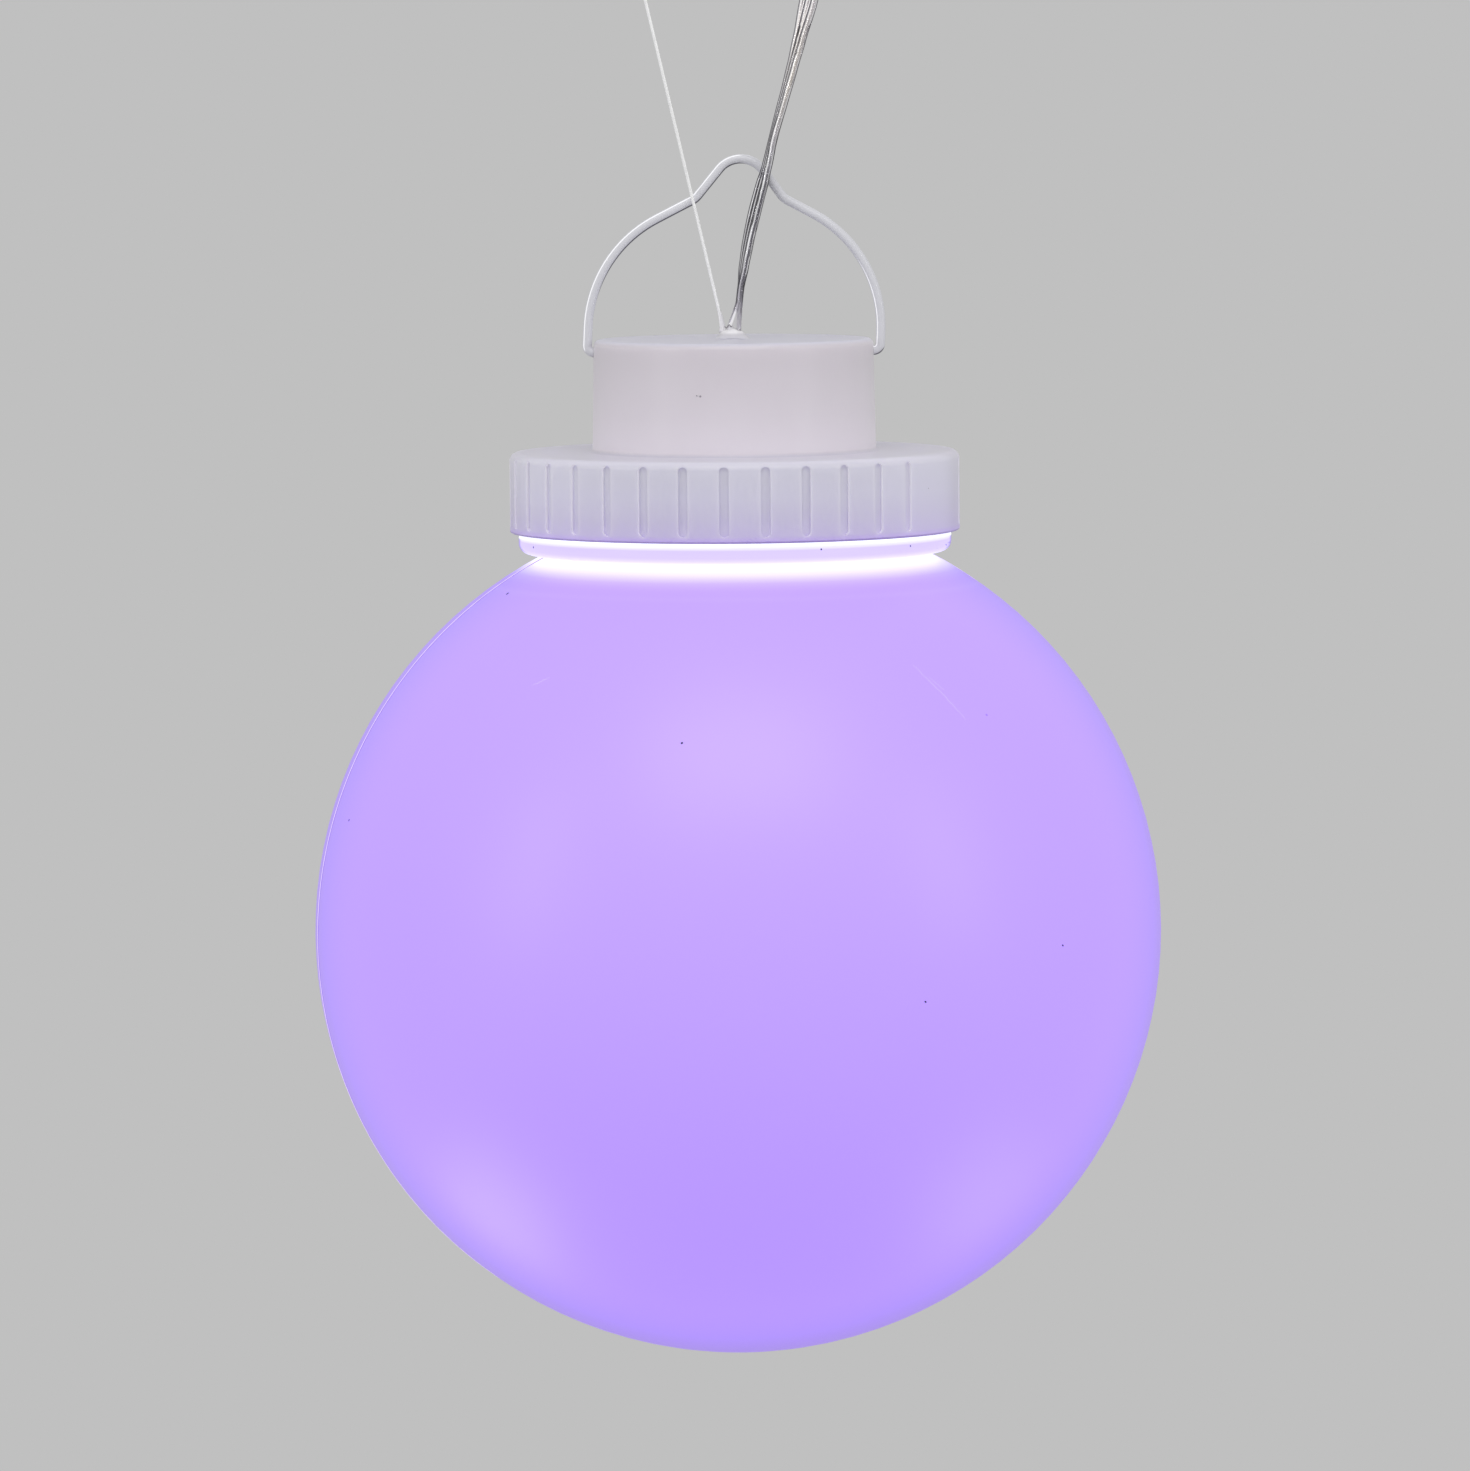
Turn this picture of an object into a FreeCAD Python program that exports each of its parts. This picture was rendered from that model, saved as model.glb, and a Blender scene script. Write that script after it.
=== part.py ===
# LED ball light: an opal ball screwed into a fluted cap, with a wire bail, a flat cable and a line.
# Millimetres, +Z up, the front looks along -Y.
# The origin is the middle of the cap tower's top face, where the line and the cable leave the lamp.
import FreeCAD, Part
import math
import os

# The ball and its neck
ball_radius = 100.0
ball_wall = 1.8
neck_wall = 2.8
bead_overhang = 2.7
bead_foot_inset = 2.92
bead_height = 5.1
bead_gap = 0.4
bead_foot_slope = 0.9
bead_foot_round = 2.4
bead_edge_round = 0.9
rim_edge_round = 0.5

# The cap: a tower on a fluted collar, moulded in one piece
tower_height = 26.35
tower_draft = 0.5
tower_wall = 2.2
tower_edge_round = 1.5
tower_foot_round = 1.0
collar_height = 18.8
collar_wall = 1.8
collar_plate = 2.0
collar_rim_round = 2.0
collar_lip_round = 0.5

# The flutes: two like runs of shallow grooves, with a smooth land after each run
flute_runs = 2
flutes_per_run = 15
flute_pitch_deg = 10.4
first_flute_deg = 49.3
flute_width = 2.3
flute_depth = 0.7
flute_round_share = 0.96
flute_below_rim = 1.2
flute_above_lip = 1.5

# The screw thread between the neck and the cap
thread_pitch = 6.0
thread_turns = 1.5
thread_room = 2.9
thread_gap = 0.9
thread_flank_gap = 0.415
thread_flank_share = 0.35
thread_end_margin = 0.3
thread_lip_margin = 0.6
thread_bite = 0.4

# The seal on the neck's rim
seal_thickness = 1.8
seal_inset = 0.1

# The wire bail and its pivot in the tower
wire_radius = 1.1
bail_pivot_depth = 3.0
bail_gap = 1.1
bail_height = 45.2
bail_corner_round = 1.6
shoulder_corner_height = 23.3
shoulder_round = 30.0
hump_foot_half_width = 10.4
hump_foot_height = 35.9
hump_foot_round = 5.0
crest_round = 6.5
bail_crest_shift = 2.1
pin_grip = 4.1
pin_clearance = 0.08
ear_width = 6.4
ear_depth = 6.6
ear_length = 6.2

# The inner plate that the board and the lens are screwed to
tray_gap = 3.5
tray_margin = 2.0
tray_thickness = 3.5
tray_window_gap = 1.2
tray_screw_gap = 0.8
tray_screw_inset = 3.5
tray_screw_count = 3
tray_screw_first_deg = 90.0
tray_boss_radius = 4.2
tray_boss_height = 14.5

# The round circuit board and what is on it
board_margin = 1.3
board_thickness = 1.6
board_screw_count = 3
board_screw_first_deg = 30.0
board_part_gap = 1.4
led_count = 8
led_side = 5.0
led_height = 1.6
led_corner = 0.6
led_well_share = 0.38
led_well_depth_share = 0.25
driver_x = 6.0
driver_y = 5.0
driver_height = 1.7
driver_gap = 2.2
resistor_count = 5
resistor_pitch_deg = 45.0
resistor_gap = 5.1
resistor_x = 1.25
resistor_y = 2.0
resistor_height = 0.55
capacitor_radius = 2.5
capacitor_height = 5.4
capacitor_round_share = 0.2
terminal_x = 6.0
terminal_side = 2.2
terminal_height = 6.0
terminal_pitch = 2.5
terminal_hole_depth = 3.2

# The clear lens cover under the board
lens_flange = 2.0
lens_flange_round = 0.5
lens_inner_gap = 0.8
lens_dome_drop = 10.2
lens_wall = 1.6
lens_screw_gap = 0.5
lens_screw_margin = 0.4
lens_screw_count = 4
lens_screw_first_deg = 45.0
lens_seal_gap = 0.9
lens_seal_width = 2.0
lens_seal_height = 1.2
lens_groove_clearance = 0.1

# Self-tapping screws: shank radius, head radius, head height, length under the head
big_shank = 1.4
big_head = 2.4
big_head_height = 1.8
big_length = 11.0
small_shank = 1.05
small_head = 2.1
small_head_height = 1.3
small_length = 4.4
screw_clearance = 0.1
screw_end_space = 0.4
head_round_share = 0.45
slot_width_share = 0.28
slot_depth_share = 0.4

# The grommet, the strain relief plate and the crimp on the cable
grommet_wall = 0.75
grommet_overhang = 0.2
grommet_rise = 1.2
grommet_crown_share = 0.9
grommet_lip = 0.8
grommet_lip_overhang = 0.6
grommet_clearance = 0.1
relief_depth = 4.6
relief_thickness = 2.0
relief_margin = 1.5
relief_side = 1.85
relief_screw_x = 9.0
relief_boss_radius = 2.9
crimp_wall = 1.0
crimp_height = 4.0
crimp_clearance = 0.05
lead_radius = 0.6
lead_spacing = 1.5
lead_places = (-1, 0, 1)
lead_first_share = 0.2
lead_last_share = 0.25

# The flat cable: three cores in one clear jacket, standing edge-on to the front
cable_width = 5.0
cable_thickness = 1.7
cable_round_share = 0.9
cable_clearance = 0.25
cable_tail = 1.6

# The suspension line, its stopper and its end loop
line_radius = 0.35
line_clearance = 0.2
stopper_radius = 1.2
stopper_height = 2.4
stopper_round_share = 0.45
loop_radius = 3.4
loop_knot_radius = 0.95
loop_knot_height = 2.6
loop_knot_round_share = 0.35

# The plug on the end of the cable
plug_grip_radius = 5.4
plug_tail_radius = 3.2
plug_tail_length = 9.0
plug_tail_round = 0.8
plug_grip_round = 5.4
plug_grip_length = 11.0
plug_flange_radius = 6.4
plug_flange_height = 1.8
plug_flange_round = 0.4
plug_spigot_radius = 4.0
plug_spigot_length = 6.2
plug_spigot_round = 0.5
plug_pin_radius = 0.5
plug_pin_length = 4.6
plug_pin_ring = 2.0
plug_pin_count = 3
plug_pin_first_deg = 90.0
plug_pin_seat = 1.5
plug_pin_round_share = 0.8
plug_seal_height = 1.2
plug_seal_inset = 0.5
plug_groove_depth = 0.3
ring_outer_radius = 8.2
ring_clearance = 0.35
ring_lip_height = 2.4
ring_overhang = 0.8
ring_rib_count = 18
ring_rib_depth = 0.5
ring_rib_width = 1.3
ring_thread_pitch = 1.8
ring_thread_depth = 0.5
ring_thread_turns = 2.5
ring_thread_base_share = 0.6
ring_thread_crest_share = 0.25
ring_thread_end_share = 0.5

# One overrun for every cut, and the share of the shorter run that each arc of a cord uses
overrun = 1.0
arc_share = 0.45

# Angles are counted from +X, so the front is here; points closer than this are one point
front_deg = -90.0
same_point = 1e-6

# The routes of the cable and of the line, as points chosen by hand
cable_route = [
    (0.7, 0.0, -8.0),
    (0.7, 0.0, 4.2),
    (3.1, -1.9, 20.8),
    (5.6, -3.6, 31.5),
    (8.2, -4.5, 40.3),
    (9.8, -4.8, 47.8),
    (13.8, -5.2, 61.5),
    (18.4, -5.4, 79.5),
    (20.3, -5.5, 88.0),
    (20.3, -5.5, 95.0),
]
line_route = [
    (-2.5, 0.0, -5.0),
    (-2.5, 0.0, 3.0),
    (-22.4, -5.8, 90.0),
]

# Radii that follow from the board's middle outwards: the board, the lens, the neck and the collar
driver_place = capacitor_radius + driver_gap + driver_x / 2
resistor_ring = capacitor_radius + resistor_gap + resistor_x / 2
led_ring = driver_place + driver_x / 2 + board_part_gap + led_side / 2
board_screw_ring = led_ring + led_side / 2 + board_part_gap + small_head
board_radius = board_screw_ring + small_head + board_margin
tray_screw_ring = board_radius + big_head + tray_screw_gap
tower_inner_radius = tray_screw_ring + tray_screw_inset
tower_top_radius = tower_inner_radius + tower_wall
tower_base_radius = tower_top_radius + tower_draft
lens_dome_radius = tray_screw_ring + big_head + lens_inner_gap + lens_wall
lens_seal_radius = lens_dome_radius + lens_seal_gap + lens_seal_width / 2
lens_screw_ring = lens_seal_radius + lens_seal_width / 2 + lens_screw_gap + small_head
lens_flange_radius = lens_screw_ring + small_head + lens_screw_margin
tray_radius = lens_flange_radius + tray_margin
neck_inner_radius = tray_radius + tray_gap
neck_outer_radius = neck_inner_radius + neck_wall
skirt_inner_radius = neck_outer_radius + thread_room
collar_radius = skirt_inner_radius + collar_wall
bead_radius = neck_outer_radius + bead_overhang
bead_foot_radius = neck_outer_radius - bead_foot_inset

# Sizes of the outlet and of the plates that follow the cords and the terminal
cable_x = cable_route[0][0]
line_x = line_route[0][0]
grommet_stem_radius = cable_width / 2 + cable_clearance + grommet_wall
grommet_radius = grommet_stem_radius + grommet_overhang
grommet_lip_radius = grommet_stem_radius + grommet_lip_overhang
relief_half_width = cable_width / 2 + cable_clearance + relief_side
relief_half_length = relief_screw_x + small_head + relief_margin
terminal_y = 2 * (terminal_pitch + terminal_side)
tray_window_x = terminal_x + 2 * tray_window_gap
tray_window_y = terminal_y + 2 * tray_window_gap
bail_half_spread = tower_base_radius + bail_gap
pin_inner_reach = tower_inner_radius - pin_grip

# Heights that follow from the sizes above
collar_top_z = -tower_height
plate_under_z = collar_top_z - collar_plate
collar_bottom_z = collar_top_z - collar_height
bead_top_z = collar_bottom_z - bead_gap
bead_foot_z = bead_top_z - bead_height
ball_center_z = bead_foot_z - math.sqrt(ball_radius**2 - bead_foot_radius**2)
rim_z = plate_under_z - seal_thickness
pivot_z = -bail_pivot_depth
tray_under_z = plate_under_z - tray_thickness
board_under_z = tray_under_z - board_thickness
flange_under_z = tray_under_z - lens_flange
relief_under_z = -relief_depth - relief_thickness
crimp_under_z = relief_under_z - crimp_height
cable_end_z = crimp_under_z - cable_tail
terminal_top_z = tray_under_z + terminal_height

# The thread: both ridges have the same section and lie half a pitch apart
ridge_base = thread_pitch / 2 - thread_flank_gap + thread_flank_share * thread_room
neck_crest_radius = skirt_inner_radius - thread_gap
cap_crest_radius = neck_outer_radius + thread_gap
thread_rise = thread_pitch * thread_turns
neck_thread_z = rim_z - thread_end_margin - ridge_base / 2 - thread_rise
cap_thread_z = collar_bottom_z + thread_lip_margin + ridge_base / 2
cap_thread_deg = 360 * (cap_thread_z - neck_thread_z + thread_pitch / 2) / thread_pitch

origin = FreeCAD.Vector(0, 0, 0)
up = FreeCAD.Vector(0, 0, 1)
along_x = FreeCAD.Vector(1, 0, 0)
along_y = FreeCAD.Vector(0, 1, 0)


def flat_point(radius, height):
    """A point of an outline that is turned about the upright axis."""
    return FreeCAD.Vector(radius, 0, height)


def corner_cut(before, corner, after, radius):
    """Where an arc of this radius touches the two runs at a corner, and its middle."""
    back = (before - corner).normalize()
    ahead = (after - corner).normalize()
    half_inside = back.getAngle(ahead) / 2
    reach = radius / math.tan(half_inside)
    inward = (back + ahead).normalize()
    center = corner + inward * (radius / math.sin(half_inside))
    return corner + back * reach, center - inward * radius, corner + ahead * reach


def rounded_edges(points, radii, closed=False):
    """Straight runs through the points, joined by tangent arcs; a radius of zero leaves a corner sharp."""
    count = len(points)
    cuts = []
    for i, (point, radius) in enumerate(zip(points, radii)):
        inner = closed or 0 < i < count - 1
        if inner and radius > 0:
            cuts.append(corner_cut(points[i - 1], point, points[(i + 1) % count], radius))
        else:
            cuts.append((point, None, point))
    edges = []
    for i, (first, middle, last) in enumerate(cuts):
        if middle is not None:
            edges.append(Part.Arc(first, middle, last).toShape())
        if closed or i < count - 1:
            following = cuts[(i + 1) % count][0]
            if last.distanceToPoint(following) > same_point:
                edges.append(Part.LineSegment(last, following).toShape())
    return edges


def turned(points, radii):
    """A solid turned about the upright axis from a closed outline of (radius, height) points."""
    corners = [flat_point(radius, height) for radius, height in points]
    face = Part.Face(Part.Wire(rounded_edges(corners, radii, closed=True)))
    return face.revolve(origin, up, 360)


def upright(radius, bottom, top, x=0.0, y=0.0):
    """A round bar along Z."""
    return Part.makeCylinder(radius, top - bottom, FreeCAD.Vector(x, y, bottom), up)


def block(size_x, size_y, bottom, top, x=0.0, y=0.0):
    """A box centred on x and y."""
    corner = FreeCAD.Vector(x - size_x / 2, y - size_y / 2, bottom)
    return Part.makeBox(size_x, size_y, top - bottom, corner)


def rounded_block(size_x, size_y, corner, bottom, top, x=0.0, y=0.0):
    """A box with rounded upright edges, centred on x and y."""
    half_x, half_y = size_x / 2, size_y / 2
    points = [
        FreeCAD.Vector(x - half_x, y - half_y, bottom),
        FreeCAD.Vector(x + half_x, y - half_y, bottom),
        FreeCAD.Vector(x + half_x, y + half_y, bottom),
        FreeCAD.Vector(x - half_x, y + half_y, bottom),
    ]
    face = Part.Face(Part.Wire(rounded_edges(points, [corner] * len(points), closed=True)))
    return face.extrude(up * (top - bottom))


def on_ring(radius, count, first_deg):
    """Places spaced evenly round the axis, as (x, y, degrees)."""
    for i in range(count):
        degrees = first_deg + i * 360 / count
        angle = math.radians(degrees)
        yield radius * math.cos(angle), radius * math.sin(angle), degrees


def fused(shapes):
    """The shapes as one solid, with the seams between them taken out."""
    return shapes[0].fuse(shapes[1:]).removeSplitter()


def placed(shape, x, y, degrees=0.0):
    """A copy turned about Z and then moved."""
    copy = shape.copy()
    copy.rotate(origin, up, degrees)
    copy.translate(FreeCAD.Vector(x, y, 0))
    return copy


def ridge(base_radius, crest_radius, base_width, crest_width, pitch, turns, start_z, start_deg):
    """One right-handed thread ridge, whose foot goes a little way into the wall it stands on."""
    lean = (base_width - crest_width) / 2 / abs(crest_radius - base_radius)
    bite = thread_bite if crest_radius < base_radius else -thread_bite
    foot_half = base_width / 2 + lean * thread_bite
    outline = [
        flat_point(base_radius + bite, -foot_half),
        flat_point(crest_radius, -crest_width / 2),
        flat_point(crest_radius, crest_width / 2),
        flat_point(base_radius + bite, foot_half),
    ]
    section = Part.Wire(rounded_edges(outline, [0] * len(outline), closed=True))
    helix = Part.Wire(Part.makeHelix(pitch, pitch * turns, base_radius).Edges)
    solid = helix.makePipeShell([section], True, True)
    solid.rotate(origin, up, start_deg)
    solid.translate(FreeCAD.Vector(0, 0, start_z))
    return solid


def screw(shank, head, head_height, length, head_z, x, y):
    """A round-headed screw driven upward, with its head under head_z and one slot across it."""
    top = head_z + length
    round_off = head_height * head_round_share
    body = turned(
        [
            (0, head_z - head_height),
            (head, head_z - head_height),
            (head, head_z),
            (shank, head_z),
            (shank, top - shank),
            (0, top),
        ],
        [0, round_off, 0, 0, 0, 0],
    )
    bottom = head_z - head_height
    slot_top = bottom + head_height * slot_depth_share
    slot = block(2 * (head + overrun), head * slot_width_share, bottom - overrun, slot_top)
    return placed(body.cut(slot), x, y)


def small_screw(head_z, x, y):
    return screw(small_shank, small_head, small_head_height, small_length, head_z, x, y)


def small_hole(bottom, top, x, y=0.0):
    """A hole that the small screw's shank goes into."""
    return upright(small_shank + screw_clearance, bottom, top, x, y)


def swept_circle(points, radii, radius):
    """A round bar along straight runs joined by tangent arcs, and the length of its centreline."""
    path = Part.Wire(rounded_edges(points, radii))
    start = points[0]
    heading = points[1] - points[0]
    section = Part.Wire(Part.Circle(start, heading, radius).toShape())
    return path.makePipeShell([section], True, False), path.Length


def cord_radii(points):
    """For each point of a cord's route, the arc that its two runs allow."""
    radii = [0.0]
    for before, corner, after in zip(points, points[1:], points[2:]):
        turn = math.pi - (before - corner).getAngle(after - corner)
        shorter = min(before.distanceToPoint(corner), after.distanceToPoint(corner))
        radii.append(arc_share * shorter / math.tan(turn / 2))
    return radii + [0.0]


def collar_outline():
    """The outside and the inside of the cap, from the middle of its top to the middle again."""
    foot = tower_base_radius
    points = [
        (0, 0),
        (tower_top_radius, 0),
        (foot, collar_top_z),
        (collar_radius, collar_top_z),
        (collar_radius, collar_bottom_z),
        (skirt_inner_radius, collar_bottom_z),
        (skirt_inner_radius, plate_under_z),
        (tower_inner_radius, plate_under_z),
        (tower_inner_radius, -tower_wall),
        (0, -tower_wall),
    ]
    radii = [0, tower_edge_round, tower_foot_round, collar_rim_round, collar_lip_round, 0, 0, 0, 0, 0]
    return points, radii


def flute_cutters():
    """The shallow grooves round the collar, each with rounded ends."""
    bottom = collar_bottom_z + flute_above_lip
    top = collar_top_z - flute_below_rim
    floor = collar_radius - flute_depth
    half = flute_width / 2
    outline = [
        FreeCAD.Vector(floor, -half, bottom),
        FreeCAD.Vector(floor, half, bottom),
        FreeCAD.Vector(floor, half, top),
        FreeCAD.Vector(floor, -half, top),
    ]
    end_round = half * flute_round_share
    face = Part.Face(Part.Wire(rounded_edges(outline, [end_round] * len(outline), closed=True)))
    cutter = face.extrude(along_x * (flute_depth + overrun))
    cutters = []
    for run in range(flute_runs):
        for i in range(flutes_per_run):
            from_front = first_flute_deg - i * flute_pitch_deg - run * 360 / flute_runs
            cutters.append(placed(cutter, 0, 0, from_front + front_deg))
    return cutters


def make_screw_cap():
    shell = turned(*collar_outline())
    ribs = []
    # Two ears inside the tower hold the ends of the bail
    for side in (-1, 1):
        ear_x = side * (tower_inner_radius - ear_length / 2 + tower_wall / 2)
        ribs.append(block(ear_length + tower_wall, ear_width, -ear_depth, -tower_wall / 2, x=ear_x))
    # Posts for the screws that hold the inner plate
    for x, y, _ in on_ring(tray_screw_ring, tray_screw_count, tray_screw_first_deg):
        ribs.append(upright(tray_boss_radius, plate_under_z, plate_under_z + tray_boss_height, x, y))
    # Posts for the screws of the strain relief plate
    for side in (-1, 1):
        ribs.append(upright(relief_boss_radius, -relief_depth, -tower_wall / 2, x=side * relief_screw_x))
    inside = upright(tower_inner_radius + tower_wall / 2, plate_under_z, -tower_wall / 2)
    cap = shell.fuse([rib.common(inside) for rib in ribs])
    cap = cap.fuse(
        ridge(
            skirt_inner_radius,
            cap_crest_radius,
            ridge_base,
            ridge_base - 2 * thread_flank_share * (skirt_inner_radius - cap_crest_radius),
            thread_pitch,
            thread_turns,
            cap_thread_z,
            cap_thread_deg,
        )
    )
    cuts = flute_cutters()
    ear_end = tower_inner_radius - ear_length
    bore_length = tower_base_radius + overrun - ear_end + overrun
    for side in (-1, 1):
        bore_start = FreeCAD.Vector(side * (ear_end - overrun), 0, pivot_z)
        cuts.append(Part.makeCylinder(wire_radius + pin_clearance, bore_length, bore_start, along_x * side))
    for x, y, _ in on_ring(tray_screw_ring, tray_screw_count, tray_screw_first_deg):
        hole_top = tray_under_z + big_length + screw_end_space
        cuts.append(upright(big_shank + screw_clearance, plate_under_z - overrun, hole_top, x, y))
    for side in (-1, 1):
        hole_bottom = -relief_depth - overrun
        hole_top = relief_under_z + small_length + screw_end_space
        cuts.append(small_hole(hole_bottom, hole_top, side * relief_screw_x))
    cuts.append(upright(grommet_stem_radius + grommet_clearance, -tower_wall - overrun, overrun))
    return cap.cut(cuts).removeSplitter()


def make_bail_wire():
    """The sprung wire: two pins, round shoulders and a small hump in the middle for a hook."""
    crest_center_height = bail_height - crest_round
    # The run from the hump's foot touches the crest's arc, and carried on it meets its twin above the crest
    to_center = math.atan2(crest_center_height - hump_foot_height, hump_foot_half_width)
    distance = math.hypot(crest_center_height - hump_foot_height, hump_foot_half_width)
    rise = to_center + math.asin(crest_round / distance)
    peak = hump_foot_height + hump_foot_half_width * math.tan(rise)

    def leaned(x, height):
        return FreeCAD.Vector(x + bail_crest_shift * height / bail_height, 0, pivot_z + height)

    right = [
        (leaned(pin_inner_reach, 0), 0),
        (leaned(bail_half_spread, 0), bail_corner_round),
        (leaned(bail_half_spread, shoulder_corner_height), shoulder_round),
        (leaned(hump_foot_half_width, hump_foot_height), hump_foot_round),
    ]
    left = [
        (leaned(-hump_foot_half_width, hump_foot_height), hump_foot_round),
        (leaned(-bail_half_spread, shoulder_corner_height), shoulder_round),
        (leaned(-bail_half_spread, 0), bail_corner_round),
        (leaned(-pin_inner_reach, 0), 0),
    ]
    route = right + [(leaned(0, peak), crest_round)] + left
    points = [point for point, _ in route]
    radii = [radius for _, radius in route]
    wire, length = swept_circle(points, radii, wire_radius)
    report_sweep("bail_wire", wire, length, math.pi * wire_radius**2)
    return wire


def neck_edges():
    """The outside of the ball from its foot at the bead, round the bead and the rim, to the inside."""
    inner_foot_z = ball_center_z + math.sqrt((ball_radius - ball_wall) ** 2 - neck_inner_radius**2)
    points = [
        (bead_foot_radius, bead_foot_z),
        (bead_radius, bead_foot_z + bead_foot_slope),
        (bead_radius, bead_top_z),
        (neck_outer_radius, bead_top_z),
        (neck_outer_radius, rim_z),
        (neck_inner_radius, rim_z),
        (neck_inner_radius, inner_foot_z),
    ]
    radii = [0, bead_foot_round, bead_edge_round, 0, rim_edge_round, rim_edge_round, 0]
    return rounded_edges([flat_point(r, z) for r, z in points], radii)


def ball_arc(radius, foot_radius):
    """The arc of the ball's section from its lowest point up to the neck."""
    foot = math.asin(foot_radius / radius)
    middle = (math.pi - foot) / 2
    return Part.Arc(
        flat_point(0, ball_center_z - radius),
        flat_point(radius * math.sin(middle), ball_center_z - radius * math.cos(middle)),
        flat_point(foot_radius, ball_center_z + radius * math.cos(foot)),
    ).toShape()


def make_globe():
    inner_radius = ball_radius - ball_wall
    axis = Part.LineSegment(
        flat_point(0, ball_center_z - inner_radius), flat_point(0, ball_center_z - ball_radius)
    ).toShape()
    edges = [ball_arc(ball_radius, bead_foot_radius)] + neck_edges()
    edges += [ball_arc(inner_radius, neck_inner_radius), axis]
    section = Part.Face(Part.Wire(Part.__sortEdges__(edges)))
    shell = section.revolve(origin, up, 360)
    thread = ridge(
        neck_outer_radius,
        neck_crest_radius,
        ridge_base,
        ridge_base - 2 * thread_flank_share * (neck_crest_radius - neck_outer_radius),
        thread_pitch,
        thread_turns,
        neck_thread_z,
        0,
    )
    return fused([shell, thread])


def make_neck_seal():
    inner = neck_inner_radius + seal_inset
    outer = neck_outer_radius - seal_inset
    return upright(outer, rim_z, plate_under_z).cut(upright(inner, rim_z, plate_under_z))


def cable_hole(bottom, top, clearance):
    """A slot that the flat cable passes through."""
    half_x = cable_thickness / 2 + clearance
    half_y = cable_width / 2 + clearance
    return rounded_block(2 * half_x, 2 * half_y, half_x * cable_round_share, bottom, top, x=cable_x)


def line_hole(bottom, top):
    """A hole that the suspension line passes through."""
    return upright(line_radius + line_clearance, bottom, top, x=line_x)


def make_cable_grommet():
    """A soft plug in the tower's top, with a low crown outside and a lip inside."""
    under = -tower_wall - grommet_lip
    body = turned(
        [
            (0, grommet_rise),
            (grommet_radius, grommet_rise),
            (grommet_radius, 0),
            (grommet_stem_radius, 0),
            (grommet_stem_radius, -tower_wall),
            (grommet_lip_radius, -tower_wall),
            (grommet_lip_radius, under),
            (0, under),
        ],
        [0, grommet_rise * grommet_crown_share, 0, 0, 0, 0, grommet_lip / 2, 0],
    )
    bottom, top = under - overrun, grommet_rise + overrun
    return body.cut([cable_hole(bottom, top, cable_clearance), line_hole(bottom, top)])


def make_strain_plate():
    """The plate under the tower's top that the crimp and the stopper pull against."""
    plate = rounded_block(
        2 * relief_half_length,
        2 * relief_half_width,
        relief_half_width / 2,
        relief_under_z,
        -relief_depth,
    )
    bottom, top = relief_under_z - overrun, -relief_depth + overrun
    cuts = [cable_hole(bottom, top, cable_clearance), line_hole(bottom, top)]
    for side in (-1, 1):
        cuts.append(small_hole(bottom, top, side * relief_screw_x))
    return plate.cut(cuts)


def make_strain_screws():
    return [small_screw(relief_under_z, side * relief_screw_x, 0) for side in (-1, 1)]


def make_cable_crimp():
    """A metal ferrule pressed round the cable under the plate."""
    outer = rounded_block(
        cable_thickness + 2 * crimp_wall,
        cable_width + 2 * crimp_wall,
        crimp_wall,
        crimp_under_z,
        relief_under_z,
        x=cable_x,
    )
    return outer.cut(cable_hole(crimp_under_z - overrun, relief_under_z + overrun, crimp_clearance))


def make_line_knot():
    """The stopper that the line is knotted to under the plate."""
    end_round = stopper_height * stopper_round_share
    bead = turned(
        [
            (0, relief_under_z - stopper_height),
            (stopper_radius, relief_under_z - stopper_height),
            (stopper_radius, relief_under_z),
            (0, relief_under_z),
        ],
        [0, end_round, end_round, 0],
    )
    return placed(bead, line_x, 0)


def make_tray():
    """The inner plate that closes the tower and carries the board and the lens cover."""
    plate = upright(tray_radius, tray_under_z, plate_under_z)
    bottom, top = tray_under_z - overrun, plate_under_z + overrun
    cuts = [block(tray_window_x, tray_window_y, bottom, top)]
    for x, y, _ in on_ring(tray_screw_ring, tray_screw_count, tray_screw_first_deg):
        cuts.append(upright(big_shank + screw_clearance, bottom, top, x, y))
    board_screw_top = board_under_z + small_length + screw_end_space
    for x, y, _ in on_ring(board_screw_ring, board_screw_count, board_screw_first_deg):
        cuts.append(small_hole(bottom, board_screw_top, x, y))
    lens_screw_top = flange_under_z + small_length + screw_end_space
    for x, y, _ in on_ring(lens_screw_ring, lens_screw_count, lens_screw_first_deg):
        cuts.append(small_hole(bottom, lens_screw_top, x, y))
    return plate.cut(cuts)


def make_tray_screws():
    return [
        screw(big_shank, big_head, big_head_height, big_length, tray_under_z, x, y)
        for x, y, _ in on_ring(tray_screw_ring, tray_screw_count, tray_screw_first_deg)
    ]


def make_led_board():
    board = upright(board_radius, board_under_z, tray_under_z)
    cuts = []
    for x, y, _ in on_ring(board_screw_ring, board_screw_count, board_screw_first_deg):
        cuts.append(small_hole(board_under_z - overrun, tray_under_z + overrun, x, y))
    return board.cut(cuts)


def make_board_screws():
    return [
        small_screw(board_under_z, x, y)
        for x, y, _ in on_ring(board_screw_ring, board_screw_count, board_screw_first_deg)
    ]


def make_led_chips():
    chip = rounded_block(led_side, led_side, led_corner, board_under_z - led_height, board_under_z)
    face_z = board_under_z - led_height
    well = upright(led_side * led_well_share, face_z - overrun, face_z + led_height * led_well_depth_share)
    chip = chip.cut(well)
    return [placed(chip, x, y, turn) for x, y, turn in on_ring(led_ring, led_count, 0)]


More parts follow.
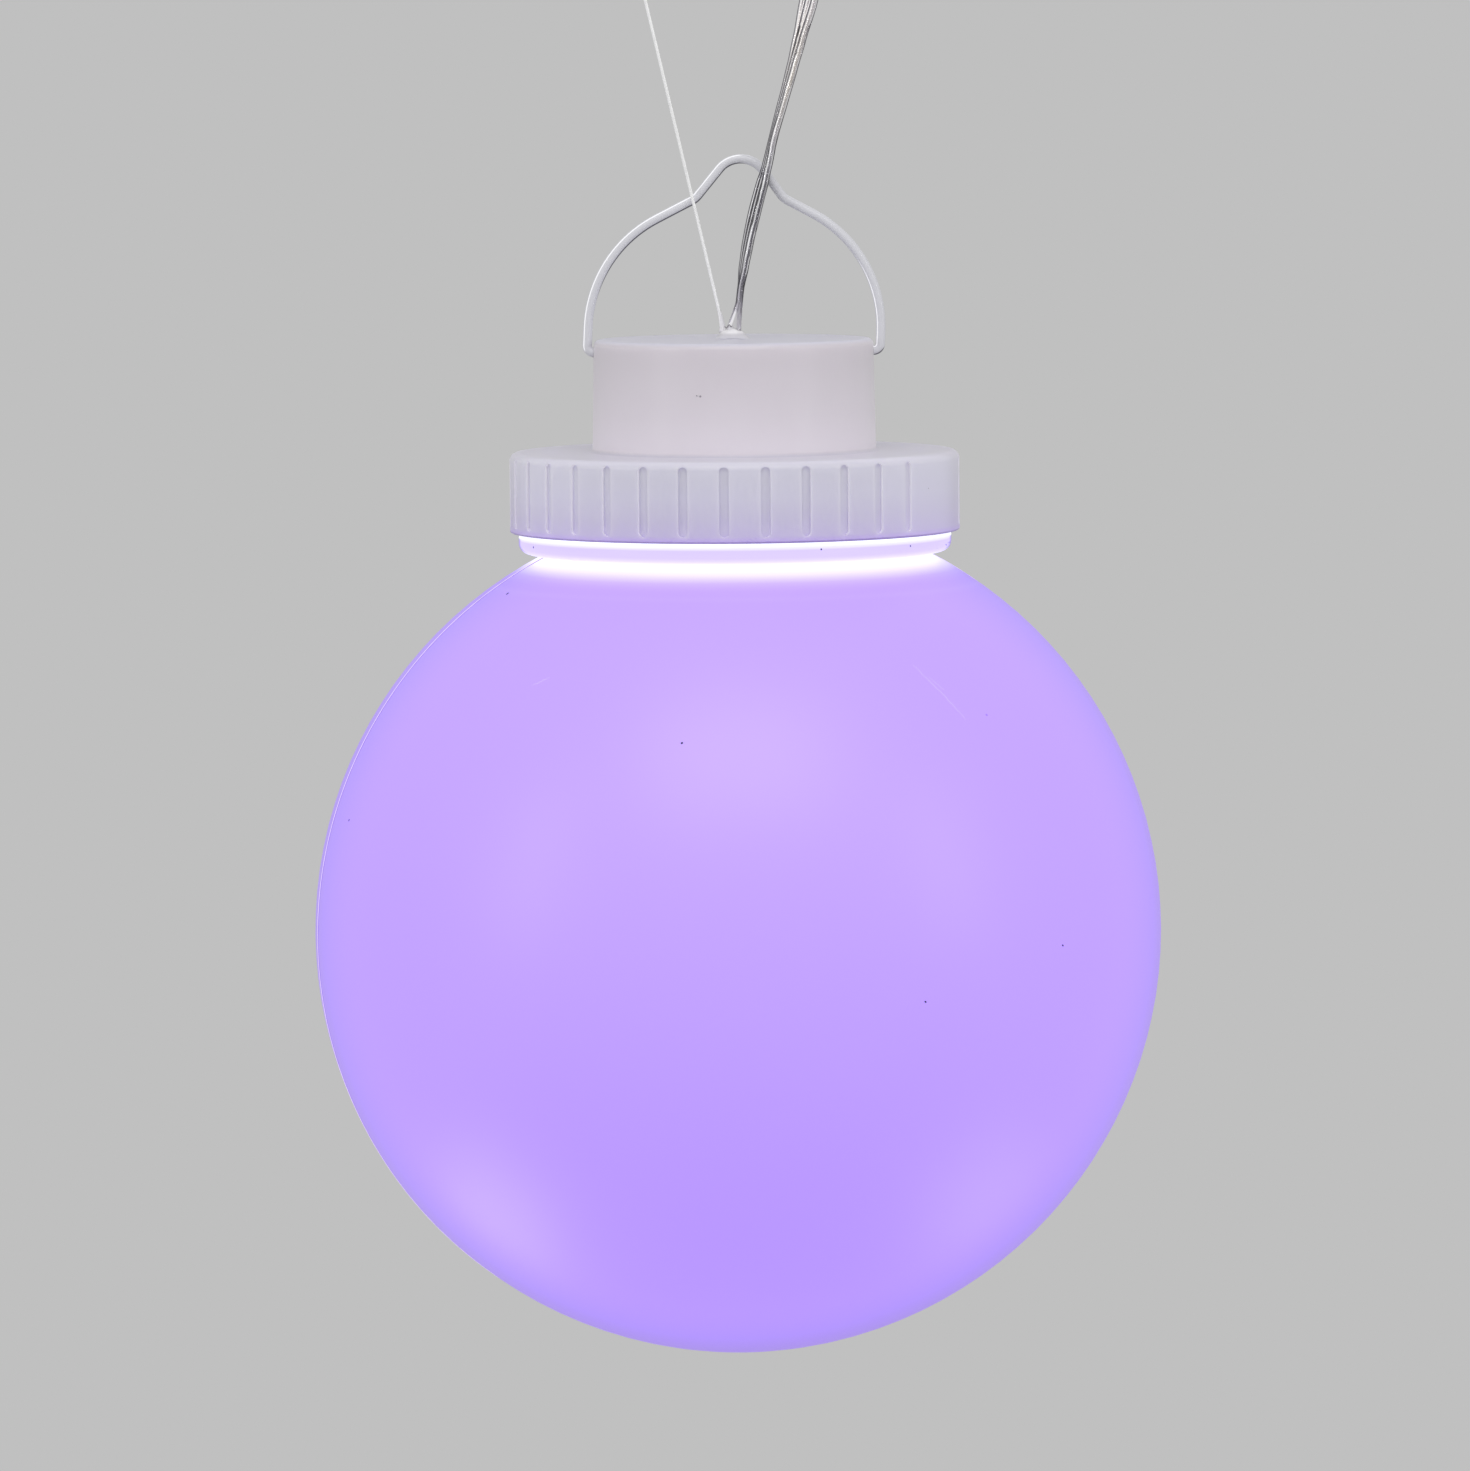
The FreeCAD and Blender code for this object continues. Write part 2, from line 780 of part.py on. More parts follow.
def make_driver_chip():
    chip = rounded_block(driver_x, driver_y, led_corner / 2, board_under_z - driver_height, board_under_z)
    return placed(chip, -driver_place, 0)


def make_board_resistors():
    """Small parts on a half ring, on the side of the board away from the driver."""
    resistor = block(resistor_x, resistor_y, board_under_z - resistor_height, board_under_z)
    resistors = []
    for i in range(resistor_count):
        degrees = (i - (resistor_count - 1) / 2) * resistor_pitch_deg
        on_x_axis = placed(resistor, resistor_ring, 0)
        resistors.append(placed(on_x_axis, 0, 0, degrees))
    return resistors


def make_buffer_capacitor():
    bottom = board_under_z - capacitor_height
    return turned(
        [(0, bottom), (capacitor_radius, bottom), (capacitor_radius, board_under_z), (0, board_under_z)],
        [0, capacitor_radius * capacitor_round_share, 0, 0],
    )


def make_board_terminal():
    """The socket on the board's upper face that the three cores push into, inside the tray's window."""
    body = block(terminal_x, terminal_y, tray_under_z, terminal_top_z)
    holes = []
    for i in lead_places:
        hole_bottom = terminal_top_z - terminal_hole_depth
        hole_radius = lead_radius + screw_clearance
        holes.append(upright(hole_radius, hole_bottom, terminal_top_z + overrun, y=i * terminal_pitch))
    return body.cut(holes)


def make_inner_leads():
    """The three cores from the end of the cable's jacket down into the terminal."""
    bottom = terminal_top_z - terminal_hole_depth + screw_end_space
    drop = cable_end_z - terminal_top_z
    leads = []
    for i in lead_places:
        points = [
            FreeCAD.Vector(cable_x, i * lead_spacing, cable_end_z),
            FreeCAD.Vector(cable_x, i * lead_spacing, cable_end_z - drop * lead_first_share),
            FreeCAD.Vector(0, i * terminal_pitch, terminal_top_z + drop * lead_last_share),
            FreeCAD.Vector(0, i * terminal_pitch, bottom),
        ]
        lead, _ = swept_circle(points, cord_radii(points), lead_radius)
        leads.append(lead)
    return leads


def make_lens_cover():
    """A clear dome with a flat flange, hollow over the board, with a groove for its seal."""
    dome_low = flange_under_z - lens_dome_drop
    inner_radius = lens_dome_radius - lens_wall

    def cap_arc(radius, height, low):
        drop = height - low
        bow = (radius**2 + drop**2) / (2 * drop)
        half = math.asin(radius / bow) / 2
        middle = flat_point(bow * math.sin(half), low + bow - bow * math.cos(half))
        return Part.Arc(flat_point(0, low), middle, flat_point(radius, height)).toShape()

    outer_arc = cap_arc(lens_dome_radius, flange_under_z, dome_low)
    inner_arc = cap_arc(inner_radius, flange_under_z, dome_low + lens_wall)
    outer_run = [
        flat_point(lens_dome_radius, flange_under_z),
        flat_point(lens_flange_radius, flange_under_z),
        flat_point(lens_flange_radius, tray_under_z),
        flat_point(inner_radius, tray_under_z),
        flat_point(inner_radius, flange_under_z),
    ]
    edges = [outer_arc, inner_arc] + rounded_edges(outer_run, [0, lens_flange_round, 0, 0, 0])
    edges.append(Part.LineSegment(flat_point(0, dome_low + lens_wall), flat_point(0, dome_low)).toShape())
    body = Part.Face(Part.Wire(Part.__sortEdges__(edges))).revolve(origin, up, 360)
    groove_half = lens_seal_width / 2 + lens_groove_clearance
    groove_floor = tray_under_z - lens_seal_height
    cuts = [
        upright(lens_seal_radius + groove_half, groove_floor, tray_under_z + overrun).cut(
            upright(lens_seal_radius - groove_half, groove_floor - overrun, tray_under_z + 2 * overrun)
        )
    ]
    for x, y, _ in on_ring(lens_screw_ring, lens_screw_count, lens_screw_first_deg):
        cuts.append(small_hole(flange_under_z - overrun, tray_under_z + overrun, x, y))
    return body.cut(cuts)


def make_lens_seal():
    half = lens_seal_width / 2
    bottom = tray_under_z - lens_seal_height
    return upright(lens_seal_radius + half, bottom, tray_under_z).cut(
        upright(lens_seal_radius - half, bottom, tray_under_z)
    )


def make_lens_screws():
    return [
        small_screw(flange_under_z, x, y)
        for x, y, _ in on_ring(lens_screw_ring, lens_screw_count, lens_screw_first_deg)
    ]


def route_points(route):
    return [FreeCAD.Vector(*point) for point in route]


def report_sweep(name, solid, length, section_area):
    """Prints a swept solid's volume beside its section times its length."""
    share = solid.Volume / section_area / length
    print(name, "length", round(length, 1), "volume over section times length", round(share, 4))


def make_power_cable():
    """The flat jacket of the cable, from the crimp's lower face up to the plug."""
    points = route_points(cable_route)
    points[0] = FreeCAD.Vector(points[0].x, points[0].y, cable_end_z)
    radii = cord_radii(points)
    print("power_cable arc radii", [round(radius) for radius in radii[1:-1]])
    path = Part.Wire(rounded_edges(points, radii))
    half_x, half_y = cable_thickness / 2, cable_width / 2
    start = points[0]
    corners = [
        start + FreeCAD.Vector(-half_x, -half_y, 0),
        start + FreeCAD.Vector(half_x, -half_y, 0),
        start + FreeCAD.Vector(half_x, half_y, 0),
        start + FreeCAD.Vector(-half_x, half_y, 0),
    ]
    corner_round = half_x * cable_round_share
    section = Part.Wire(rounded_edges(corners, [corner_round] * len(corners), closed=True))
    maker = Part.BRepOffsetAPI.MakePipeShell(path)
    maker.setBiNormalMode(along_y)
    maker.add(section)
    maker.build()
    maker.makeSolid()
    cable = maker.shape()
    report_sweep("power_cable", cable, path.Length, Part.Face(section).Area)
    return cable


def make_suspension_line():
    """The thin line, knotted under the plate, straight up past the front of the bail."""
    points = route_points(line_route)
    points[0] = FreeCAD.Vector(points[0].x, points[0].y, relief_under_z)
    radii = cord_radii(points)
    print("suspension_line arc radii", [round(radius) for radius in radii[1:-1]])
    line, length = swept_circle(points, radii, line_radius)
    report_sweep("suspension_line", line, length, math.pi * line_radius**2)
    return line


def make_line_loop():
    """The knot and the small loop at the upper end of the line, in line with it."""
    last, before = route_points(line_route)[-1], route_points(line_route)[-2]
    heading = (last - before).normalize()
    end_round = loop_knot_height * loop_knot_round_share
    knot = turned(
        [(0, 0), (loop_knot_radius, 0), (loop_knot_radius, loop_knot_height), (0, loop_knot_height)],
        [0, end_round, end_round, 0],
    )
    loop_center = FreeCAD.Vector(0, 0, loop_knot_height + loop_radius - line_radius)
    loop = Part.makeTorus(loop_radius, line_radius, loop_center, along_y)
    whole = fused([knot, loop])
    whole.Placement = FreeCAD.Placement(last, FreeCAD.Rotation(up, heading))
    return whole


def plug_place():
    """The upper end of the cable, where the plug's tail begins."""
    return route_points(cable_route)[-1]


def at_plug(shape):
    copy = shape.copy()
    copy.translate(plug_place())
    return copy


plug_flange_z = plug_tail_length + plug_grip_length
plug_shoulder_z = plug_flange_z + plug_flange_height
plug_seal_top_z = plug_shoulder_z + plug_seal_height
plug_tip_z = plug_seal_top_z + plug_spigot_length
plug_groove_radius = plug_spigot_radius - plug_groove_depth


def make_plug_body():
    """The moulded plug: a tapered tail, a grip, a flange that keeps the ring on, and a spigot."""
    body = turned(
        [
            (0, 0),
            (plug_tail_radius, 0),
            (plug_grip_radius, plug_tail_length),
            (plug_grip_radius, plug_flange_z),
            (plug_flange_radius, plug_flange_z),
            (plug_flange_radius, plug_shoulder_z),
            (plug_groove_radius, plug_shoulder_z),
            (plug_groove_radius, plug_seal_top_z),
            (plug_spigot_radius, plug_seal_top_z),
            (plug_spigot_radius, plug_tip_z),
            (0, plug_tip_z),
        ],
        [0, plug_tail_round, plug_grip_round, 0, 0, plug_flange_round, 0, 0, 0, plug_spigot_round, 0],
    )
    seats = [
        upright(plug_pin_radius, plug_tip_z - plug_pin_seat, plug_tip_z + overrun, x, y)
        for x, y, _ in on_ring(plug_pin_ring, plug_pin_count, plug_pin_first_deg)
    ]
    return at_plug(body.cut(seats))


def make_plug_pins():
    pin_top = plug_tip_z + plug_pin_length
    pin = turned(
        [
            (0, plug_tip_z - plug_pin_seat),
            (plug_pin_radius, plug_tip_z - plug_pin_seat),
            (plug_pin_radius, pin_top),
            (0, pin_top),
        ],
        [0, 0, plug_pin_radius * plug_pin_round_share, 0],
    )
    places = on_ring(plug_pin_ring, plug_pin_count, plug_pin_first_deg)
    return [at_plug(placed(pin, x, y)) for x, y, _ in places]


def make_plug_seal():
    outer = upright(plug_flange_radius - plug_seal_inset, plug_shoulder_z, plug_seal_top_z)
    return at_plug(outer.cut(upright(plug_groove_radius, plug_shoulder_z, plug_seal_top_z)))


def make_plug_ring():
    """The coupling ring: a lip under the plug's flange, an inner thread and ribs to grip."""
    bottom = plug_flange_z - ring_clearance - ring_lip_height
    lip_top = plug_flange_z - ring_clearance
    top = plug_tip_z + plug_pin_length + ring_overhang
    bore = plug_flange_radius + ring_clearance
    body = turned(
        [
            (plug_grip_radius + ring_clearance, bottom),
            (ring_outer_radius, bottom),
            (ring_outer_radius, top),
            (bore, top),
            (bore, lip_top),
            (plug_grip_radius + ring_clearance, lip_top),
        ],
        [0, ring_rib_depth, ring_rib_depth, 0, 0, 0],
    )
    thread_start = top - ring_thread_depth - ring_thread_pitch * (ring_thread_turns + ring_thread_end_share)
    thread = ridge(
        bore,
        bore - ring_thread_depth,
        ring_thread_pitch * ring_thread_base_share,
        ring_thread_pitch * ring_thread_crest_share,
        ring_thread_pitch,
        ring_thread_turns,
        thread_start,
        0,
    )
    grooves = []
    for x, y, turn in on_ring(ring_outer_radius, ring_rib_count, 0):
        groove = block(2 * ring_rib_depth, ring_rib_width, bottom + ring_rib_width, top - ring_rib_width)
        grooves.append(placed(groove, x, y, turn))
    return at_plug(body.fuse(thread).cut(grooves))


makers = {
    "screw_cap": make_screw_cap,
    "bail_wire": make_bail_wire,
    "globe": make_globe,
    "neck_seal": make_neck_seal,
    "cable_grommet": make_cable_grommet,
    "strain_plate": make_strain_plate,
    "strain_screws": make_strain_screws,
    "cable_crimp": make_cable_crimp,
    "line_knot": make_line_knot,
    "inner_leads": make_inner_leads,
    "board_tray": make_tray,
    "tray_screws": make_tray_screws,
    "led_board": make_led_board,
    "board_screws": make_board_screws,
    "led_chips": make_led_chips,
    "driver_chip": make_driver_chip,
    "board_resistors": make_board_resistors,
    "buffer_capacitor": make_buffer_capacitor,
    "board_terminal": make_board_terminal,
    "lens_cover": make_lens_cover,
    "lens_seal": make_lens_seal,
    "lens_screws": make_lens_screws,
    "power_cable": make_power_cable,
    "plug_body": make_plug_body,
    "plug_pins": make_plug_pins,
    "plug_seal": make_plug_seal,
    "plug_ring": make_plug_ring,
    "suspension_line": make_suspension_line,
    "line_loop": make_line_loop,
}

os.makedirs("parts", exist_ok=True)
for node, maker in makers.items():
    made = maker()
    shape = Part.makeCompound(made) if isinstance(made, list) else made
    print(node, "solids", len(shape.Solids), "volume", round(shape.Volume, 1), "valid", shape.isValid())
    shape.exportStep("parts/" + node + ".step")
print("globe turns", round(cap_thread_deg, 1), "degrees short of", 360 * thread_turns, "before it comes free")
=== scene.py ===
# The LED ball light's looks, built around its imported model.
# Metres, +Z up, the front looks along -Y. The origin is the middle of the cap tower's top face.
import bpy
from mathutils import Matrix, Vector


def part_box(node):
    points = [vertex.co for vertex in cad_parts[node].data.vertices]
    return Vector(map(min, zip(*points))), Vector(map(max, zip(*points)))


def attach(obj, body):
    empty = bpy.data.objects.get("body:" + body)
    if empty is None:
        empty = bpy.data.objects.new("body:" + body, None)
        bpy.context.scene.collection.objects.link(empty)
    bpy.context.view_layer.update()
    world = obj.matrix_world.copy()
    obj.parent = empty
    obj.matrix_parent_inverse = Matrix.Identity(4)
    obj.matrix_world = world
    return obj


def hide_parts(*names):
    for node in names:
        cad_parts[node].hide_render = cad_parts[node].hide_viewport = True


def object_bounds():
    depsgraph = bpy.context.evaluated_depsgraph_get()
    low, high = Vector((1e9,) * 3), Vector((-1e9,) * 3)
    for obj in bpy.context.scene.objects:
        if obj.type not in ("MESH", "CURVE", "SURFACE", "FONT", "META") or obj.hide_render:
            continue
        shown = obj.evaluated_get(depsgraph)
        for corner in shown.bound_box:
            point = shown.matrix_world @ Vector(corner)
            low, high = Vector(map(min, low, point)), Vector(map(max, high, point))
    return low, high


bl_info = {
    "name": "LED ball light",
    "version": (1, 0, 0),
    "blender": (4, 5, 0),
    "location": "3D View > Sidebar > Ball Light",
    "description": "Dresses the lamp's ball, cap, bail, cable and line, and sets its stage",
    "category": "Object",
}

import math
import random

import bmesh
import bpy
from bpy.props import FloatProperty, FloatVectorProperty, IntProperty, PointerProperty
from mathutils import Matrix, Vector

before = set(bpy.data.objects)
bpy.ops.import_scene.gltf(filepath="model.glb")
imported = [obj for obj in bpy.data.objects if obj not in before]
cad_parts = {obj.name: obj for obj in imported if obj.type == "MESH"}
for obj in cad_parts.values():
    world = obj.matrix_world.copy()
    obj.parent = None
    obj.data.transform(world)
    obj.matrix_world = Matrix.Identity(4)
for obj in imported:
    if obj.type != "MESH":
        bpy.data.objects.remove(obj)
cad_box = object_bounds()

MM = 0.001
RIGHT, BACK, UP = Vector((1, 0, 0)), Vector((0, 1, 0)), Vector((0, 0, 1))
# Keeps only the level part of a direction
LEVEL = (1, 1, 0)
UNLIT = (0, 0, 0)

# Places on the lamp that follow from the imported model
ball_low, ball_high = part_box("globe")
plug_low, plug_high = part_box("plug_body")
ball_radius = (ball_high.x - ball_low.x) / 2
ball_center = Vector((0, 0, ball_low.z + ball_radius))

# ---- the stage

CAMERA_PLACE = (-0.0004, -1.907, 0.0704)
# Degrees below level, and round the view's own axis
CAMERA_DIP, CAMERA_ROLL = 4.92, -0.47
CAMERA_LENS, CAMERA_SENSOR = 198.2, 36
LIGHT_AIM = Vector((0, 0, -0.08))
# Name, place, width and height, the setting that holds its power, and the share of it that this light has
LIGHTS = (
    ("Key light", (0.03, -1.22, 1.42), (1.6, 1.1), "key_power", 1),
    ("Left light", (-1.5, -0.9, 0.45), (0.05, 1.1), "side_power", 1),
    ("Right light", (1.5, -0.9, 0.45), (0.05, 1.1), "side_power", 1),
    ("Low left light", (-0.39, 0.14, -0.6), (0.36, 0.2), "low_power", 1),
    ("Low right light", (0.39, 0.08, -0.58), (0.36, 0.2), "low_power", 0.6),
    ("Back light", (0.3, 1.3, 1.4), (1, 0.8), "back_power", 1),
)
FLOOR_REACH, FLOOR_SIDES = 1.7, 64
# The shares of the floor's reach between which it fades into the backdrop
FLOOR_FADE = (0.45, 0.98)

# ---- the cords

# The cords' routes, the same points as the CAD source has
CABLE_ROUTE = [
    (0.0007, 0.0, -0.0122), (0.0007, 0.0, 0.0042), (0.0031, -0.0019, 0.0208), (0.0056, -0.0036, 0.0315),
    (0.0082, -0.0045, 0.0403), (0.0098, -0.0048, 0.0478), (0.0138, -0.0052, 0.0615),
    (0.0184, -0.0054, 0.0795), (0.0203, -0.0055, 0.0880), (0.0203, -0.0055, 0.0950),
]
# The third point lies on the long run, as far from the corner as the first point is
LINE_ROUTE = [
    (-0.0025, 0.0, -0.0066), (-0.0025, 0.0, 0.0030), (-0.00464, -0.00062, 0.01234),
    (-0.0224, -0.0058, 0.0900),
]

# How far the flat cable has turned from edge-on, in degrees, by height in millimetres
CABLE_TURN = [
    (12, 0), (17, 12), (22, 18), (30, 23), (36, 21), (40, 12), (47, 7),
    (56, 12), (64, 18), (70, 27), (79.5, 52), (88, 82), (95, 90),
]
# The web between the cable's lobes, as a share of a lobe's radius
WEB_SHARE = 0.62
# The clear glue round the cable's foot, in millimetres: where it starts and ends, the height over which it
# tapers, and how far it reaches to the left
GLUE_FOOT, GLUE_TOP, GLUE_TAPER, GLUE_REACH = 1.6, 8.8, 6.2, 1.7
# The length of one turn of the strands, in the cable's cores, the line and its loop
CORE_PITCH, LINE_PITCH, LOOP_PITCH = 34 * MM, 5 * MM, 2.4 * MM

# The loop on the line's end, in millimetres: along the line, to its side and to its front
LOOP_ROUTE = [
    (-0.6, 0, 0), (1, 0.2, 0), (2.6, 0.3, 0), (3.9, 1.5, 0), (5.6, 3, 0), (7.9, 2.6, 0),
    (9, 0, 0), (7.9, -2.6, 0), (5.6, -3, 0), (3.9, -1.5, 0), (2.7, -0.2, 0.2), (1.4, -0.2, 0.2),
    (0.1, -0.2, 0.3),
]
LOOP_TAIL = (3.1, 1, 0.5)
# The turns of the knot at the loop's foot, their points, and in millimetres their radius, start and length
KNOT_TURNS, KNOT_POINTS, KNOT_RADIUS, KNOT_START, KNOT_LENGTH = 3.2, 28, 0.62, 0.2, 2.2

# ---- small shapes, in millimetres

# The mound of glue at the outlet: how far it reaches by its angle from +X in degrees, how high it stands
# by x, and the share of its reach at each ring from its foot to its top
MOUND_REACH = [
    (0, 4.2), (25, 3.9), (90, 3.3), (150, 4.2), (180, 4.4), (215, 4.7), (270, 4),
    (335, 4.1), (360, 4.2),
]
MOUND_CREST = [
    (-4.7, 0.3), (-4, 1.2), (-3.2, 1.9), (-2.2, 2.2), (-0.5, 2.55), (0.9, 2.35), (2, 1.95),
    (2.8, 1.5), (3.4, 0.9), (4.2, 0.25),
]
MOUND_RINGS = (1, 0.985, 0.95, 0.9, 0.84, 0.77, 0.68, 0.57, 0.44, 0.3, 0.16)
MOUND_SIDES = 56
# Rows of radius and height: the soft plug under the mound, the cone at the line's foot and the lump beside it
OUTLET_PROFILE = ((3, -3), (3.9, -2.95), (4.1, -2.7), (4.1, -2.25), (3.5, -2.2), (3.5, -0.02))
CONE_PROFILE = ((0.95, 1.5), (0.82, 2.2), (0.7, 2.9), (0.6, 3.6), (0.52, 4.6), (0.45, 5.6), (0.4, 6.4))
LUMP_PROFILE = ((0.8, 1.8), (0.72, 2.6), (0.56, 3.2), (0.35, 3.65), (0.1, 3.9))
# Points of a thin dark strand of painted shadow, where a crease in the glue lies in shade
GLUE_SHADOW_PATH = (
    (-2.1, -2.9, 2.9), (-1.6, -3.1, 2.6), (-0.95, -3.25, 3.45), (-0.55, -3.25, 2.85), (-0.25, -3.1, 3.1),
)

# A speck's rings: share of its radius, and how far each stands off the surface
SPECK_PROFILE, SPECK_SIDES = ((1, 0), (0.7, 0.045), (0.3, 0.06)), 9
# The specks that the real lamp shows: place and radius. Those on the ball are placed from its middle
BALL_SPECKS = (
    ((-53.2, -22.6, 81.6), 0.42), ((-12.4, -84.7, 51.7), 0.26), ((-90.4, -30.8, 29.6), 0.3),
    ((74.1, -67, 3), 0.34), ((42.1, -90.4, -6.9), 0.3),
)
BEAD_SPECKS = (((-47.1, -19.6, -47.6), 0.3), ((40.7, -30.8, -47.3), 0.24), ((19.8, -47, -46.9), 0.22))
CAP_SPECKS = (((-8.6, -32.1, -12), 0.2), ((-7.8, -32.25, -12.15), 0.22), ((45, -27.9, -34.1), 0.24))
# More specks on the sides that the photograph doesn't show, and the radius of the cap's tower
BALL_MORE, CAP_MORE, TOWER_RADIUS = 16, 7, 33
# The ball's scratches: first and last point from its middle, and half width
SCRATCHES = (
    ((40.3, -62.1, 67.2), (52.3, -65.3, 54.8), 0.12),
    ((44, -62.6, 64.4), (47.5, -63, 61.4), 0.09),
    ((-46.5, -61.8, 63), (-42.6, -62.9, 65.2), 0.12),
)
# A scratch across: shares of its half width, and how far each point stands off the ball
SCRATCH_PROFILE, SCRATCH_STEPS = ((-1, -0.02), (-0.5, 0.03), (0.5, 0.03), (1, -0.02)), 18

# The mould seam: how far it lies in front of the ball's left, the radius where it ends at the neck in metres,
# its steps, and across it the shares of its half width and height, for the ridge with its painted light and
# the strip of painted shade beside it
SEAM_LEAD, SEAM_FOOT, SEAM_STEPS = math.radians(9), 0.0454, 360
RIDGE_PROFILE = ((-1, -0.3), (-0.7, 0.45), (0, 1), (0.7, 0.45), (1, -0.3), (0, -0.8))
SHADE_PROFILE = ((1.05, -0.3), (1.1, 0.25), (1.8, 0.25), (1.9, -0.3))

# The ribs on the plug's strain relief: height and radius of each, and the shape of one across
PLUG_RIBS = ((2.2, 3.9), (4, 4.5), (5.8, 5), (7.6, 5.45))
RIB_PROFILE = ((-0.9, -0.45), (-0.15, -0.4), (0.12, 0), (-0.15, 0.4), (-0.9, 0.45))
RIB_SIDES = 48

# ---- colours and light


def tone(red, green, blue):
    """A colour as a shader takes it, from its three screen values of 0 to 255."""
    def linear(value):
        share = value / 255
        return share / 12.92 if share <= 0.04045 else ((share + 0.055) / 1.055) ** 2.4

    return (linear(red), linear(green), linear(blue))


def tones(*rows):
    """Rows of height in millimetres and colour, from rows of height and three screen values."""
    return [(height, tone(*values)) for height, *values in rows]


# The glue mound's colour by height in millimetres: lighter at its foot, painted shade on its steep slope and
# painted light on its top
MOUND_TONE_AND_SHADE = tones((0, 222, 221, 228), (1, 212, 210, 215), (1.6, 240, 238, 241), (7, 243, 242, 244))

# The ball's light by height above its middle, in millimetres: share of the neck's white glow
BALL_GLOW = [
    (-100, 0), (81.4, 0), (81.9, 0.03), (82.6, 0), (84.2, 0.01), (85.4, 0.1), (86.3, 0.3),
    (87.1, 0.5), (87.9, 0.68), (89.9, 0.66), (90.5, 0.44), (91, 0.38), (91.8, 0.35), (92.8, 0.36),
    (93.3, 0.62), (93.7, 0.92), (94.2, 1), (110, 0.5),
]
# The share of that light that is left inside the cap, and the part of the outside that is the bead
HIDDEN_DIM = [(89, 1), (94.6, 1), (95.2, 0.3), (110, 0.15)]
BEAD_PART = [(90.2, 0), (90.7, 1), (93.2, 1), (93.4, 0)]
# The colour that the bead's light is darkened to at its outline: painted shade
BEAD_EDGE_SHADE = tone(108, 88, 170)
# The share of the ball's own light that is left at its outline
RIM_SHARE = 0.6

# The cap's colour by height in millimetres, from its lower lip to the tower's top, with painted light and
# shade in it: a painted shadow line at the lower lip, the ball's violet light painted in above it, and
# painted shade on the collar's top and the tower's top face
CAP_COLOUR_AND_PAINTED_LIGHT = tones(
    (-45.2, 150, 138, 172), (-44.9, 158, 146, 180), (-44.6, 197, 184, 222), (-43.5, 206, 199, 223),
    (-39.5, 212, 208, 226), (-35, 217, 215, 229), (-29, 220, 219, 230), (-26.3, 213, 210, 223),
    (-25.5, 226, 220, 227), (-1.6, 223, 217, 224), (-0.9, 216, 210, 217), (-0.1, 210, 208, 222),
)
# Light painted into the cap by height in millimetres, which stands for the light that leaks through it and
# the ball's violet light near its lower lip, and more painted light at the collar's flanks
CAP_PAINTED_LIGHT = [
    (-45.2, UNLIT), (-44.9, UNLIT), (-44.6, (0.035, 0.022, 0.07)), (-43.5, (0.024, 0.019, 0.036)),
    (-40, (0.02, 0.017, 0.024)), (-28, (0.018, 0.017, 0.018)), (-26.3, UNLIT),
    (-25.4, (0.075, 0.07, 0.075)), (-17, (0.03, 0.028, 0.03)), (-5, UNLIT),
]
FLANK_PAINTED_LIGHT = [(-45.2, UNLIT), (-44.4, (0.045, 0.045, 0.055)), (-27, (0.045, 0.045, 0.055)), (-26, UNLIT)]
# Painted light on the flutes' walls: the colour and the light that make them pale
FLUTE_PAINTED_TONE, FLUTE_PAINTED_LIGHT = tone(238, 236, 238), (0.075, 0.072, 0.085)

# The bail's painted shade on its lower right side and the painted highlight along its upper left, and the
# directions from which each shows
BAIL_UNDERSIDE_SHADE, BAIL_SHADE_SIDE = tone(84, 82, 92), (0.5, 0, -0.87)
BAIL_HIGHLIGHT, BAIL_HIGHLIGHT_SIDE = (0.42, 0.42, 0.42), (-0.85, 0, 0.5)

# The cable's painted dark outlines and the painted highlight along them, and the cores' colour with painted
# light and shade in it and their painted highlight, by height in millimetres
JACKET_EDGE_SHADE = tones(
    (2, 214, 211, 216), (6.4, 196, 193, 199), (9, 104, 101, 108), (14, 44, 41, 48),
    (40, 16, 15, 19), (50, 44, 41, 46), (62, 66, 60, 66), (80, 76, 70, 78),
)
JACKET_HIGHLIGHT = [
    (2, (0.34, 0.33, 0.35)), (9, (0.22, 0.21, 0.23)), (22, (0.5, 0.5, 0.51)),
    (50, (0.55, 0.55, 0.54)), (62, (0.5, 0.48, 0.44)), (80, (0.42, 0.4, 0.39)),
]
CORE_PAINTED_TONE = tones(
    (2, 226, 224, 228), (6.2, 214, 212, 216), (8.6, 184, 182, 188), (14, 142, 140, 147),
    (28, 136, 134, 142), (36, 142, 140, 147), (42, 188, 186, 192), (48, 208, 205, 209),
    (60, 216, 212, 208), (80, 214, 210, 212),
)
CORE_HIGHLIGHT = [
    (2, (0.1, 0.1, 0.1)), (8.6, UNLIT), (37, UNLIT), (43, (0.04, 0.04, 0.04)),
    (60, (0.09, 0.08, 0.065)), (80, (0.08, 0.075, 0.075)),
]


